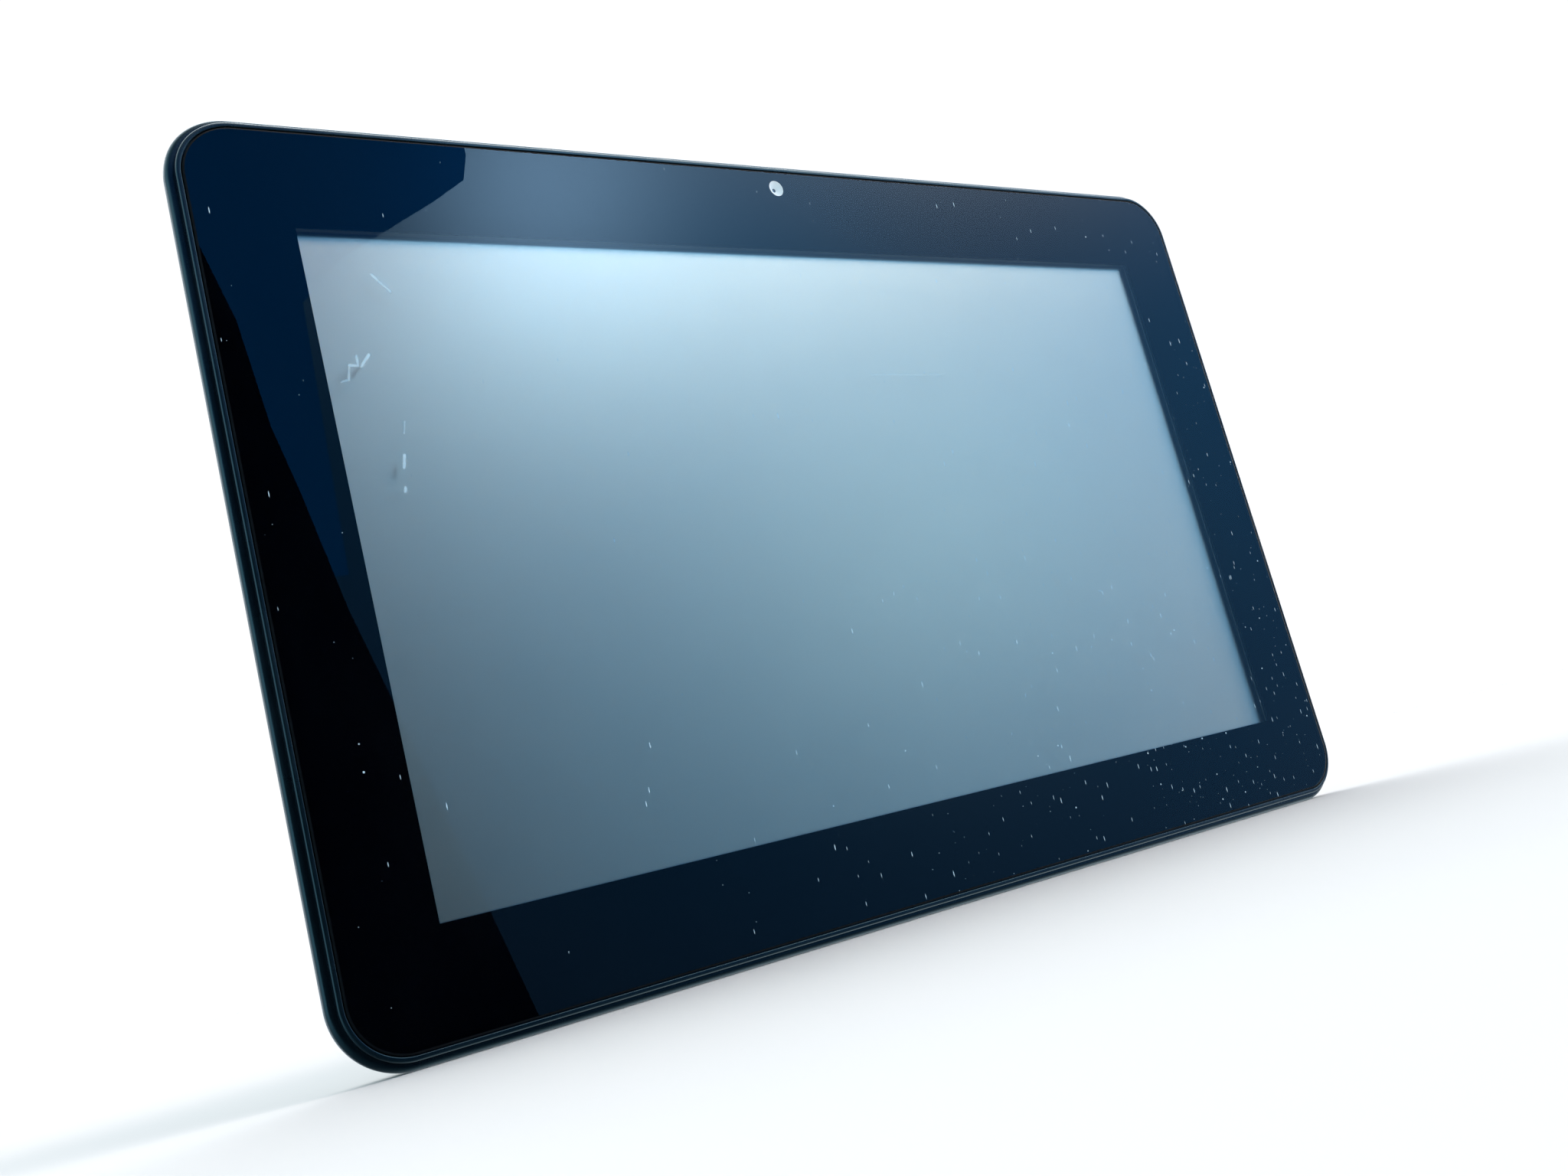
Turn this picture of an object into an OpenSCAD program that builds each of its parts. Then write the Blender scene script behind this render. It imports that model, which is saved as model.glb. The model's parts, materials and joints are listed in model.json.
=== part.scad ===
// Slate-style smart display with a 10.1 inch panel, standing upright with its screen towards -Y.
// Every piece is drawn on its back first: x to the viewer's right, y up the screen and
// z forward from the flat back face. upright() then stands it up: x stays, z goes to -Y and
// y goes to +Z. The origin is the centre of the flat back face.

/* [Housing] */
// Overall width
body_w = 263.6; // [262.6:0.1:266]
// Overall height
body_h = 168.3; // [167.8:0.1:171]
// Overall thickness, back face to glass
body_t = 10.4; // [10.4:0.1:12]
// Corner radius seen from the front
body_r = 12.6; // [12.3:0.1:13.5]
// How far in from the outline the flat of the back begins
back_blend = 12.2; // [10:0.1:12.2]
// Depth of the widest line of the housing behind the glass
widest_depth = 2.5; // [2.2:0.1:2.8]
// Depth of the joint between the front frame and the rear cover
parting_depth = 1.5; // [1.4:0.1:1.7]
// Thickness of the rear wall
rear_wall = 1.6; // [1.4:0.1:1.6]
// Thickness of the side wall
side_wall = 1.7; // [1.5:0.1:1.8]

/* [Front] */
// Width of rim outside the glass
rim = 2.5; // [2.3:0.1:2.8]
// Width of the front frame's raised lip with its gap to the glass
lip_w = 1.05; // [0.9:0.05:1.1]
// Gap between glass and lip
seam = 0.15; // [0.1:0.05:0.2]
// Thickness of the cover glass
glass_t = 0.7; // [0.7:0.1:1.1]
// Width of the clear window
window_w = 222.72; // [216:0.02:223]
// Height of the clear window
window_h = 125.28; // [120:0.02:126]
// Window centre, right of the housing centre
window_x = 0.1; // [-1:0.05:1]
// Diameter of the camera's clear hole
camera_hole_d = 3.8; // [3:0.1:4.2]
// Camera centre, right of the housing centre
camera_x = 0.35; // [-2:0.05:2]
// Camera centre, below the glass's top edge
camera_drop = 3.75; // [3.6:0.05:4.2]

/* [Keys] */
// Power key centre, right of the housing centre
power_x = 62.5; // [60:0.5:64]
// Length of the power key
power_l = 12; // [9:0.5:12]
// Volume rocker centre, right of the housing centre
rocker_x = 90; // [89:0.5:91]
// Length of the volume rocker
rocker_l = 27; // [24:0.5:27]
// Height of a key across the housing's thickness
key_t = 2.4; // [2:0.1:2.6]
// Depth of the keys' middle line behind the glass
key_depth = 4.3; // [4.2:0.1:4.5]
// Travel of the power key
key_travel = 0.4; // [0.2:0.05:0.4]
// Radius of the rocker's pivot pin
pin_r = 0.5; // [0.4:0.05:0.5]
// Radial clearance of the rocker on its pin
pin_gap = 0.06; // [0.03:0.01:0.1]

/* [Sockets] */
// Headphone socket, above the housing centre
audio_y = 42; // [41.5:0.5:43]
// Radius of the headphone socket's bore
audio_r = 1.8; // [1.76:0.01:1.85]
// USB socket, above the housing centre
usb_y = 53.5; // [53:0.5:54]
// Card socket, above the housing centre
card_y = 66.5; // [66:0.5:67]

/* [Power] */
// Width of one battery cell
cell_w = 96; // [80:1:98]
// Height of one battery cell
cell_h = 78; // [60:1:80]
// Thickness of one battery cell
cell_t = 3.2; // [2.6:0.1:3.3]

/* [Speakers] */
// Speaker centre, out from the housing centre
speaker_x = 102; // [100:0.5:102]
// Speaker centre, below the housing centre
speaker_y = 63; // [61:1:64]
// Length of one speaker box
speaker_l = 34; // [28:1:36]
// Height of one speaker box
speaker_h = 14; // [12:0.5:15]
// Slots in one grille
slot_count = 7; // [4:1:8]

/* [Hidden] */

// segments in a full turn: round shapes, moulded corners and small details
fine = 96;
small = 32;
eps = 0.01;

// glass outline
glass_w = body_w - 2 * rim;
glass_h = body_h - 2 * rim;
glass_r = body_r - rim;
glass_back = body_t - glass_t;
tape_t = 0.2;
mask_t = 0.1;
ledge_z = glass_back - tape_t;
camera_y = glass_h / 2 - camera_drop;
cup_h = 1.1;

// housing heights above the back face
widest_z = body_t - widest_depth;
parting_z = body_t - parting_depth;
shoulder = 0.95;
lip_top = body_t - 0.1;
lip_chamfer = 0.25;
ledge_w = 5.5;
ledge_t = 1.0;
skirt_in = 2.0;
skirt_t = 1.0;
skirt_z = 5.0;
skirt_gap = 12;

// display module
lcd_w = 228.8;
lcd_h = 141;
lcd_x = window_x;
lcd_y = -1.5;
lcd_front = body_t - 1.95;
lcd_t = 3.0;
lcd_back = lcd_front - lcd_t;
sheet = 0.25;
lcd_low = lcd_y - lcd_h / 2;
flex_t = 0.12;
flex_end = 36;
display_flex_w = 16;
driver_low = -window_h / 2 - 8.4;

// main board and what it carries
board_x = 76;
board_y = 52;
board_w = 92;
board_h = 40;
board_z = 3.4;
board_low = board_y - board_h / 2;
board_t = 0.8;
board_top = board_z + board_t;

// keys
key_z = body_t - key_depth;
key_top = body_h / 2 + 0.45;
key_gap = 0.2;
pocket_y = body_h / 2 - 2.25;
key_board_y = body_h / 2 - 5.55;
key_board_t = 0.6;
dome_h = 0.35;
pivot_y = body_h / 2 - 3.65;
rocker_gap = 0.3;
mic_x = rocker_x + 21.5;
pocket_left = power_x - 11;
pocket_right = rocker_x + 19;
key_bar_left = power_x - 9;
key_bar_right = rocker_x + 24;

// sockets
edge_x = body_w / 2;
usb_w = 8.9;
usb_t = 3.2;
usb_z = 4.9;
usb_face = edge_x - 2.8;
audio_z = 5.2;
audio_l = 11;
socket_face = edge_x - 4.6;
nose_r = 2.4;
nose_l = 1.2;
card_slot_w = 11.4;
card_slot_t = 1.0;

// screws through the rear cover
screw_x = body_w / 2 - 14.6;
screw_low = -48;
screw_high = 26;
boss_r = 2.15;
boss_top = 6.3;
tab_t = 1.8;
screw_r = 0.8;
head_r = 1.6;
head_sunk = 0.3;
head_t = 0.7;

// ---------------------------------------------------------------- shared shapes

module upright() rotate([90, 0, 0]) children();

module rounded(w, h, r) {
    square([w - 2 * r, h], center = true);
    square([w, h - 2 * r], center = true);
    for (sx = [-1, 1], sy = [-1, 1])
        translate([sx * (w / 2 - r), sy * (h / 2 - r)]) circle(r, $fn = fine);
}

module plate(w, h, r, z0, z1) translate([0, 0, z0]) linear_extrude(z1 - z0) rounded(w, h, r);

module block(x0, x1, y0, y1, z0, z1) translate([x0, y0, z0]) cube([x1 - x0, y1 - y0, z1 - z0]);

// a rounded slab whose edge follows a list of [inset, z] points from front to back
module moulded(w, h, r, edge) {
    z0 = edge[len(edge) - 1][1];
    z1 = edge[0][1];
    section = concat([[0, z1]], [for (p = edge) [r - p[0], p[1]]], [[0, z0]]);
    for (sx = [-1, 1], sy = [-1, 1])
        translate([sx * (w / 2 - r), sy * (h / 2 - r), 0])
            rotate_extrude($fn = fine) polygon(section);
    for (s = [0, 1]) {
        mirror([s, 0, 0]) translate([w / 2 - r, 0, 0]) rotate([90, 0, 0])
            linear_extrude(h - 2 * r, center = true) polygon(section);
        mirror([0, s, 0]) translate([0, h / 2 - r, 0]) rotate([90, 0, 90])
            linear_extrude(w - 2 * r, center = true) polygon(section);
    }
    block(-w / 2 + r, w / 2 - r, -h / 2 + r, h / 2 - r, z0, z1);
}

// a bar with round ends, l long along x and t across, pushed along y from y0 to y1
module stadium(l, t, y0, y1) {
    translate([0, y1, 0]) rotate([90, 0, 0]) linear_extrude(y1 - y0) {
        square([l - t, t], center = true);
        for (s = [-1, 1]) translate([s * (l - t) / 2, 0]) circle(t / 2, $fn = small);
    }
}

// a flat lead w wide along a list of [x, y] points, between two heights
module ribbon(points, w, z0, z1)
    translate([0, 0, z0]) linear_extrude(z1 - z0) for (i = [0 : len(points) - 2]) {
        run = points[i + 1] - points[i];
        translate(points[i]) rotate(atan2(run[1], run[0])) translate([-w / 2, -w / 2])
            square([norm(run) + w, w]);
    }

module at_cover_screws()
    for (x = [-screw_x, screw_x], y = [screw_low, screw_high]) translate([x, y, 0]) children();

// the lower corners and the upper left corner, and a hole short of the card socket
module at_board_holes()
    for (p = [[-1, -1], [-1, 1], [0.75, 1], [1, -1]])
        translate([board_x + p[0] * (board_w / 2 - 3.2), board_y + p[1] * (board_h / 2 - 3.2), 0]) children();

// ---------------------------------------------------------------- front

module cover_glass() {
    color([0.62, 0.68, 0.72, 0.5]) upright()
        moulded(glass_w, glass_h, glass_r,
            [[0.22, body_t], [0.05, body_t - 0.1], [0, body_t - 0.3], [0, glass_back + 0.1],
             [0.1, glass_back]]);
}

module print_mask() {
    color([0.02, 0.03, 0.04]) upright() difference() {
        plate(glass_w - 0.4, glass_h - 0.4, glass_r - 0.2, glass_back - mask_t, glass_back);
        translate([window_x, 0, 0])
            block(-window_w / 2, window_w / 2, -window_h / 2, window_h / 2, 0, body_t);
        translate([camera_x, camera_y, 0]) cylinder(d = camera_hole_d, h = body_t, $fn = small);
    }
}

module touch_sensor() {
    color([0.35, 0.42, 0.48, 0.4]) upright() translate([window_x, 0, 0])
        plate(window_w - 0.1, window_h - 0.1, 0.2, glass_back - 0.3, glass_back);
}

module glass_tape() {
    color([0.1, 0.1, 0.11]) upright() difference() {
        plate(glass_w - 1, glass_h - 1, glass_r - 0.5, ledge_z, glass_back - mask_t);
        plate(glass_w - 9, glass_h - 9, glass_r - 4.5, 0, body_t);
        camera_bay(ledge_z - eps, body_t);
    }
}

// the notch that the camera stands in
module camera_bay(z0, z1) block(camera_x - 4.2, camera_x + 4.2, glass_h / 2 - 8, glass_h / 2 - 0.6, z0, z1);

// tabs beside the display module that the cover screws bite into
module frame_tabs()
    for (s = [0, 1]) mirror([s, 0, 0]) for (y = [screw_low, screw_high])
        block(screw_x - 2.1, glass_w / 2 - skirt_in + eps, y - 3, y + 3, boss_top, ledge_z - ledge_t + 0.2);

module front_frame() {
    ring_w = glass_w - 2 * ledge_w;
    ring_h = glass_h - 2 * ledge_w;
    inner_w = body_w - 2 * side_wall - 0.3;
    inner_h = body_h - 2 * side_wall - 0.3;
    color([0.06, 0.07, 0.08]) upright() difference() {
        union() {
            moulded(glass_w + 2 * lip_w, glass_h + 2 * lip_w, glass_r + lip_w,
                [[lip_chamfer, lip_top], [0, lip_top - lip_chamfer], [0, parting_z]]);
            plate(inner_w, inner_h, (inner_h - glass_h) / 2 + glass_r, ledge_z - ledge_t, parting_z);
            plate(glass_w - 2 * (skirt_in - skirt_t), glass_h - 2 * (skirt_in - skirt_t),
                glass_r - skirt_in + skirt_t, skirt_z, ledge_z - ledge_t);
        }
        at_cover_screws() translate([0, 0, boss_top]) cylinder(r = screw_r, h = tab_t - 0.4, $fn = small);
        difference() {
            plate(ring_w, ring_h, glass_r - ledge_w, -1, body_t + 1);
            frame_tabs();
        }
        difference() {
            plate(glass_w - 2 * skirt_in, glass_h - 2 * skirt_in, glass_r - skirt_in, 0, ledge_z - ledge_t);
            frame_tabs();
        }
        plate(glass_w + 2 * seam, glass_h + 2 * seam, glass_r + seam, ledge_z, body_t + 1);
        camera_bay(0, body_t);
        // the skirt stops short of the keys, and leaves the whole right side to the sockets
        block(power_x - 13, glass_w / 2 - 0.5, glass_h / 2 - skirt_gap, glass_h / 2 - 0.5,
            0, ledge_z - ledge_t);
        block(glass_w / 2 - skirt_in, glass_w / 2 - 0.5, skirt_gap - glass_h / 2, glass_h / 2,
            0, ledge_z - ledge_t);
    }
}

// a flat flex that starts at [y, z], rounds the display module's lower edge and runs up its back
module wrap_flex(x, w, y, z)
    translate([x, 0, 0]) rotate([90, 0, 90]) linear_extrude(w, center = true) polygon([
        [y, z], [y, z - flex_t], [lcd_low - 0.18, z - flex_t], [lcd_low - 0.18, lcd_back - 0.02],
        [flex_end, lcd_back - 0.02], [flex_end, lcd_back - 0.02 - flex_t],
        [lcd_low - 0.18 - flex_t, lcd_back - 0.02 - flex_t], [lcd_low - 0.18 - flex_t, z]]);

module touch_flex() {
    color([0.72, 0.45, 0.12]) upright() wrap_flex(60, 9, lcd_low + 8, glass_back - mask_t);
}

// ---------------------------------------------------------------- display

// way out for the display flex through the module's lower edge
module flex_slot()
    block(40 - display_flex_w / 2 - 0.3, 40 + display_flex_w / 2 + 0.3, lcd_low - 1, driver_low + 1,
        0, lcd_front - sheet);

module lcd_bezel() {
    open_w = window_w + 1.4;
    open_h = window_h + 1.4;
    color([0.62, 0.66, 0.68]) upright() difference() {
        translate([lcd_x, lcd_y, 0])
            block(-lcd_w / 2, lcd_w / 2, -lcd_h / 2, lcd_h / 2, lcd_back + 0.5, lcd_front);
        translate([lcd_x, lcd_y, 0])
            block(-lcd_w / 2 + sheet, lcd_w / 2 - sheet, -lcd_h / 2 + sheet, lcd_h / 2 - sheet,
                0, lcd_front - sheet);
        translate([window_x, 0, 0])
            block(-open_w / 2, open_w / 2, -open_h / 2, open_h / 2, 0, body_t);
        flex_slot();
    }
}

module lcd_layer(grow, z0, z1)
    translate([window_x, 0, 0])
        block(-window_w / 2 - grow, window_w / 2 + grow, -window_h / 2 - grow, window_h / 2 + grow, z0, z1);

module lcd_cell() {
    color([0.23, 0.29, 0.33]) upright() {
        lcd_layer(1.8, lcd_front - 0.95, lcd_front - sheet - 0.2);
        lcd_layer(0.2, lcd_front - sheet - 0.2, lcd_front - sheet);
    }
}

module lcd_driver_board() {
    color([0.1, 0.3, 0.16]) upright() {
        block(lcd_x - 96, lcd_x + 96, driver_low, driver_low + 5.2, lcd_front - 0.95, lcd_front - 0.45);
        for (i = [0 : 3])
            block(lcd_x - 75 + 48 * i, lcd_x - 61 + 48 * i, driver_low + 1.5, driver_low + 3,
                lcd_front - 1.45, lcd_front - 0.95);
    }
}

module diffuser_films() {
    color([0.86, 0.88, 0.9]) upright()
        for (i = [0 : 2]) lcd_layer(1.1, lcd_front - 1.1 - 0.13 * i, lcd_front - 1.0 - 0.13 * i);
}

module light_guide() {
    color([0.8, 0.88, 0.9, 0.6]) upright() lcd_layer(1, lcd_front - 2.05, lcd_front - 1.4);
}

module reflector_sheet() {
    color([0.95, 0.95, 0.95]) upright() lcd_layer(1, lcd_front - 2.2, lcd_front - 2.08);
}

module led_strip() {
    y1 = -window_h / 2 - 1.2;
    pitch = 7;
    color([0.93, 0.88, 0.6]) upright() {
        block(lcd_x - 108, lcd_x + 108, y1 - 1.6, y1 - 1.2, lcd_front - 2.15, lcd_front - 1.45);
        for (i = [0 : 29])
            block(lcd_x - 103 + pitch * i, lcd_x - 100 + pitch * i, y1 - 1.2, y1 - 0.5,
                lcd_front - 2.05, lcd_front - 1.55);
    }
}

module lcd_tray() {
    color([0.55, 0.58, 0.6]) upright() difference() {
        translate([lcd_x, lcd_y, 0])
            block(-lcd_w / 2 + 0.35, lcd_w / 2 - 0.35, -lcd_h / 2 + 0.35, lcd_h / 2 - 0.35,
                lcd_back, lcd_front - 1.5);
        lcd_layer(1.15, lcd_back + 0.5, body_t);
        // channel for the light bar and its wires
        block(lcd_x - 109, lcd_x + 109, -window_h / 2 - 3.2, -window_h / 2 - 1, lcd_back + 0.7, body_t);
        // shallow pressed panels on the back
        for (s = [-1, 1])
            block(lcd_x + s * 54 - 46, lcd_x + s * 54 + 46, -48, 56, lcd_back - 1, lcd_back + 0.15);
        flex_slot();
    }
}

module display_flex() {
    color([0.78, 0.5, 0.15]) upright() wrap_flex(40, display_flex_w, driver_low + 1.4, lcd_front - 0.95);
}

// ---------------------------------------------------------------- rear cover

function shoulder_edge() = [for (i = [0 : 5]) let (t = 90 - 18 * i)
    [shoulder * (1 - cos(t)), widest_z + (parting_z - widest_z) * sin(t)]];
function back_edge(inset, blend, z_low, steps) = [for (i = [0 : steps]) let (t = 90 * i / steps)
    [inset + blend * (1 - cos(t)), z_low + (widest_z - z_low) * (1 - sin(t))]];

module speaker_slots(s) {
    slot_w = 1.5;
    pitch = 3.2;
    reach = speaker_h - 7 - slot_w;
    for (i = [0 : slot_count - 1])
        translate([s * speaker_x + pitch * (i - (slot_count - 1) / 2), -speaker_y, -1])
            linear_extrude(rear_wall + 2) {
                square([slot_w, reach], center = true);
                for (e = [-1, 1]) translate([0, e * reach / 2]) circle(slot_w / 2, $fn = small);
            }
}

module key_slot(x0, l, gap)
    translate([x0, 0, key_z]) stadium(l + 2 * gap, key_t + 2 * key_gap, pocket_y - 3, body_h / 2 + 1);

module rear_cover() {
    inner_r = body_r - side_wall;
    rib_h = 0.9;
    color([0.07, 0.09, 0.1]) upright() {
        difference() {
            union() {
                difference() {
                    moulded(body_w, body_h, body_r, concat(shoulder_edge(), back_edge(0, back_blend, 0, 10)));
                    moulded(body_w - 2 * side_wall, body_h - 2 * side_wall, inner_r,
                        concat([[0, body_t]], back_edge(0, back_blend - side_wall, rear_wall, 8)));
                }
                at_cover_screws() cylinder(r = boss_r, h = boss_top, $fn = small);
                // ribs that fence the two battery cells and stiffen the back
                for (y = [-55, 27]) block(-102, 102, y, y + 1, rear_wall - eps, rear_wall + rib_h);
                for (x = [-102, -0.5, 101]) block(x, x + 1, -55, 28, rear_wall - eps, rear_wall + rib_h);
                at_board_holes() cylinder(r = 2.2, h = board_z, $fn = small);
            }
            at_cover_screws() translate([0, 0, -1]) {
                cylinder(r = screw_r + 0.1, h = boss_top + 2, $fn = small);
                cylinder(r = head_r + 0.2, h = head_sunk + head_t + 1, $fn = small);
            }
            at_board_holes() translate([0, 0, rear_wall]) cylinder(r = 0.7, h = board_z, $fn = small);
            for (s = [-1, 1]) speaker_slots(s);
            key_slot(power_x, power_l, key_gap);
            key_slot(rocker_x, rocker_l, rocker_gap);
            // flat pocket behind the keys
            block(pocket_left, pocket_right, pocket_y - 6, pocket_y, key_z - 2.2, body_t);
            // pinhole over the microphone
            translate([mic_x, pocket_y - 4, key_z]) rotate([-90, 0, 0])
                cylinder(r = 0.6, h = 10, $fn = small);
            // openings for the three sockets
            translate([0, usb_y, usb_z]) rotate([0, 0, -90])
                stadium(usb_w + 0.4, usb_t + 0.4, edge_x - 8, edge_x + 1);
            translate([edge_x - 8, audio_y, audio_z]) rotate([0, 90, 0])
                cylinder(r = nose_r + 0.15, h = 10, $fn = small);
            block(edge_x - 8, edge_x + 1, card_y - card_slot_w / 2 - 0.3, card_y + card_slot_w / 2 + 0.3,
                board_top + 0.1, board_top + card_slot_t + 0.5);
            // flat landing inside the wall for the sockets
            block(edge_x - 8, socket_face + 0.2, audio_y - 4, card_y + 7, 2.7, body_t);
        }
    }
}

module cover_screws() {
    color([0.35, 0.36, 0.38]) upright() at_cover_screws() difference() {
        union() {
            translate([0, 0, head_sunk]) cylinder(r = head_r, h = head_t, $fn = small);
            translate([0, 0, head_sunk]) cylinder(r = screw_r, h = boss_top + 1, $fn = small);
        }
        for (a = [0, 90]) rotate([0, 0, a]) translate([0, 0, head_sunk]) cube([1.8, 0.4, 0.8], center = true);
    }
}

// ---------------------------------------------------------------- keys

module power_key() {
    plunger_end = key_board_y + key_board_t + dome_h + key_travel + 0.1;
    color([0.08, 0.1, 0.11]) upright() translate([power_x, 0, key_z]) {
        stadium(power_l, key_t, pocket_y - 0.95, key_top - 0.15);
        stadium(power_l - 0.3, key_t - 0.3, key_top - 0.15, key_top);
        block(-power_l / 2 - 1.2, power_l / 2 + 1.2, pocket_y - 0.95, pocket_y - 0.2, -1.7, 1.7);
        translate([0, plunger_end, 0]) rotate([-90, 0, 0])
            cylinder(r = 0.9, h = pocket_y - 0.9 - plunger_end, $fn = small);
    }
}

module volume_rocker() {
    flange_y = pocket_y - 1.4;
    plunger_end = key_board_y + key_board_t + dome_h + 0.35;
    color([0.08, 0.1, 0.11]) upright() translate([rocker_x, 0, key_z]) difference() {
        union() {
            stadium(rocker_l, key_t, flange_y, key_top - 0.15);
            stadium(rocker_l - 0.3, key_t - 0.3, key_top - 0.15, key_top);
            block(-rocker_l / 2 - 1.3, rocker_l / 2 + 1.3, flange_y, flange_y + 0.8, -1.1, 1.1);
            block(-1.3, 1.3, pivot_y - 1, flange_y + eps, -1.1, 1.1);
            for (s = [-1, 1]) translate([s * 9, plunger_end, 0]) rotate([-90, 0, 0])
                cylinder(r = 0.9, h = flange_y + 0.1 - plunger_end, $fn = small);
        }
        translate([0, pivot_y, -3]) cylinder(r = pin_r + pin_gap, h = 6, $fn = small);
    }
}

module rocker_pin() {
    color([0.75, 0.76, 0.78]) upright()
        translate([rocker_x, pivot_y, key_z - 2.1]) cylinder(r = pin_r, h = 4.2, $fn = small);
}

module key_bracket() {
    bar_back = key_board_y - 1.3;
    ear_t = 0.5;
    color([0.16, 0.17, 0.18]) upright() difference() {
        union() {
            block(key_bar_left, key_bar_right, bar_back, key_board_y, key_z - 1.6, ledge_z - ledge_t);
            for (s = [-1, 1]) translate([0, 0, key_z + s * (1.25 + ear_t / 2 + 0.05)])
                block(rocker_x - 1.5, rocker_x + 1.5, bar_back, pivot_y + 1, -ear_t / 2, ear_t / 2);
        }
        translate([rocker_x, pivot_y, 0]) cylinder(r = pin_r, h = body_t, $fn = small);
    }
}

module key_board() {
    y1 = key_board_y + key_board_t;
    color([0.1, 0.32, 0.18]) upright() difference() {
        block(key_bar_left, key_bar_right, key_board_y, y1, key_z - 1.6, key_z + 1.6);
        for (s = [-1, 1]) translate([0, 0, key_z + s * 1.7])
            block(rocker_x - 1.7, rocker_x + 1.7, key_board_y - 1, y1 + 1, -0.5, 0.5);
    }
}

module key_domes() {
    y0 = key_board_y + key_board_t;
    color([0.82, 0.82, 0.8]) upright() for (x = [power_x, rocker_x - 9, rocker_x + 9])
        translate([x, y0, key_z]) rotate([-90, 0, 0]) {
            cylinder(r = 1.5, h = 0.15, $fn = small);
            translate([0, 0, 0.15]) cylinder(r1 = 1.3, r2 = 0.6, h = dome_h - 0.15, $fn = small);
        }
}

module key_flex() {
    color([0.72, 0.45, 0.12]) upright()
        block(74, 80, board_y + board_h / 2 - 5, key_board_y - 1.35, board_top + 0.02, board_top + 0.14);
}

// ---------------------------------------------------------------- boards

module main_board() {
    color([0.05, 0.26, 0.2]) upright() difference() {
        union() {
            translate([board_x, board_y, 0])
                block(-board_w / 2, board_w / 2, -board_h / 2, board_h / 2, board_z, board_top);
            // connectors for the display, the touch sensor and the battery
            block(37, 48, board_low + 2, board_low + 4, board_top, lcd_back - 0.02 - flex_t);
            block(56, 64, board_low + 2, board_low + 4, board_top, lcd_back - 0.02 - flex_t);
            block(56, 66, board_low + 1, board_low + 4, board_z - 1, board_z);
        }
        at_board_holes() cylinder(r = 1.1, h = body_t, $fn = small);
        // notches under the sockets
        block(usb_face - 10.5, edge_x, usb_y - usb_w / 2 - 0.3, usb_y + usb_w / 2 + 0.3, 0, body_t);
        block(socket_face - audio_l - 0.3, edge_x, audio_y - 3.3, audio_y + 3.3, 0, body_t);
    }
}

module shield_can(x0, x1, y0, y1) {
    h = 1.3;
    color([0.74, 0.76, 0.78]) upright() difference() {
        block(x0, x1, y0, y1, board_z - h, board_z);
        block(x0 + 0.2, x1 - 0.2, y0 + 0.2, y1 - 0.2, board_z - h + 0.2, board_z + 1);
        for (i = [0 : 4], j = [0 : 2])
            translate([x0 + (x1 - x0) * (i + 1) / 6, y0 + (y1 - y0) * (j + 1) / 4, 0])
                cylinder(r = 0.5, h = body_t, $fn = small);
    }
}

module cpu_shield() shield_can(66, 96, 40, 66);
module radio_shield() shield_can(38, 56, 48, 66);

module processor() {
    color([0.1, 0.1, 0.11]) upright() {
        block(72, 86, 46, 60, board_z - 0.75, board_z);
        block(75, 83, 49, 57, board_z - 0.95, board_z - 0.75);
    }
}

module memory_chips() {
    color([0.12, 0.12, 0.13]) upright() {
        for (y = [42.5, 54]) block(88, 94, y, y + 9, board_z - 0.9, board_z);
        block(42, 51, 52, 61, board_z - 0.9, board_z);
        block(100, 112, 46, 57, board_z - 1, board_z);
    }
}

module heat_spreader() {
    color([0.3, 0.3, 0.31]) upright() block(60, 112, 38.5, 65.5, rear_wall + 0.05, rear_wall + 0.3);
}

module usb_socket() {
    x0 = usb_face - 10;
    color([0.72, 0.74, 0.76]) upright() translate([0, usb_y, usb_z]) rotate([0, 0, -90]) {
        difference() {
            stadium(usb_w, usb_t, x0, usb_face);
            stadium(usb_w - 0.6, usb_t - 0.6, x0 + 2, usb_face + 1);
        }
        block(-3.3, 3.3, x0 + 2 - eps, usb_face - 1, -0.35, 0.35);
    }
}

module audio_socket() {
    x0 = socket_face - audio_l;
    color([0.09, 0.09, 0.1]) upright() difference() {
        union() {
            block(x0, socket_face, audio_y - 3, audio_y + 3, audio_z - 2.3, audio_z + 2.3);
            translate([socket_face - 1, audio_y, audio_z]) rotate([0, 90, 0])
                cylinder(r = nose_r, h = nose_l + 1, $fn = small);
        }
        translate([x0 + 1, audio_y, audio_z]) rotate([0, 90, 0])
            cylinder(r = audio_r, h = audio_l + 4, $fn = small);
    }
}

module card_socket() {
    x0 = socket_face - 12.2;
    color([0.7, 0.72, 0.74]) upright() difference() {
        block(x0, socket_face, card_y - 6.5, card_y + 6.5, board_top, board_top + 1.5);
        block(x0 + 1, socket_face + 1, card_y - card_slot_w / 2, card_y + card_slot_w / 2,
            board_top + 0.3, board_top + 0.3 + card_slot_t);
    }
}

module board_screws() {
    color([0.7, 0.71, 0.73]) upright() at_board_holes() difference() {
        union() {
            translate([0, 0, board_top]) cylinder(r = 1.5, h = 0.7, $fn = small);
            translate([0, 0, board_z - 1.5]) cylinder(r = 0.7, h = board_t + 1.6, $fn = small);
        }
        for (a = [0, 90]) rotate([0, 0, a])
            translate([0, 0, board_top + 0.7]) cube([1.6, 0.35, 0.7], center = true);
    }
}

// ---------------------------------------------------------------- power

module cell(x) {
    z0 = rear_wall + 0.2;
    color([0.75, 0.77, 0.8]) upright() translate([x, -14, 0]) {
        plate(cell_w, cell_h, 2.5, z0 + 0.5, z0 + cell_t);
        plate(cell_w - 2.4, cell_h - 2.4, 1.6, z0, z0 + 0.5);
    }
}

module battery_cell_left() cell(-50.25);
module battery_cell_right() cell(50.25);

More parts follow.
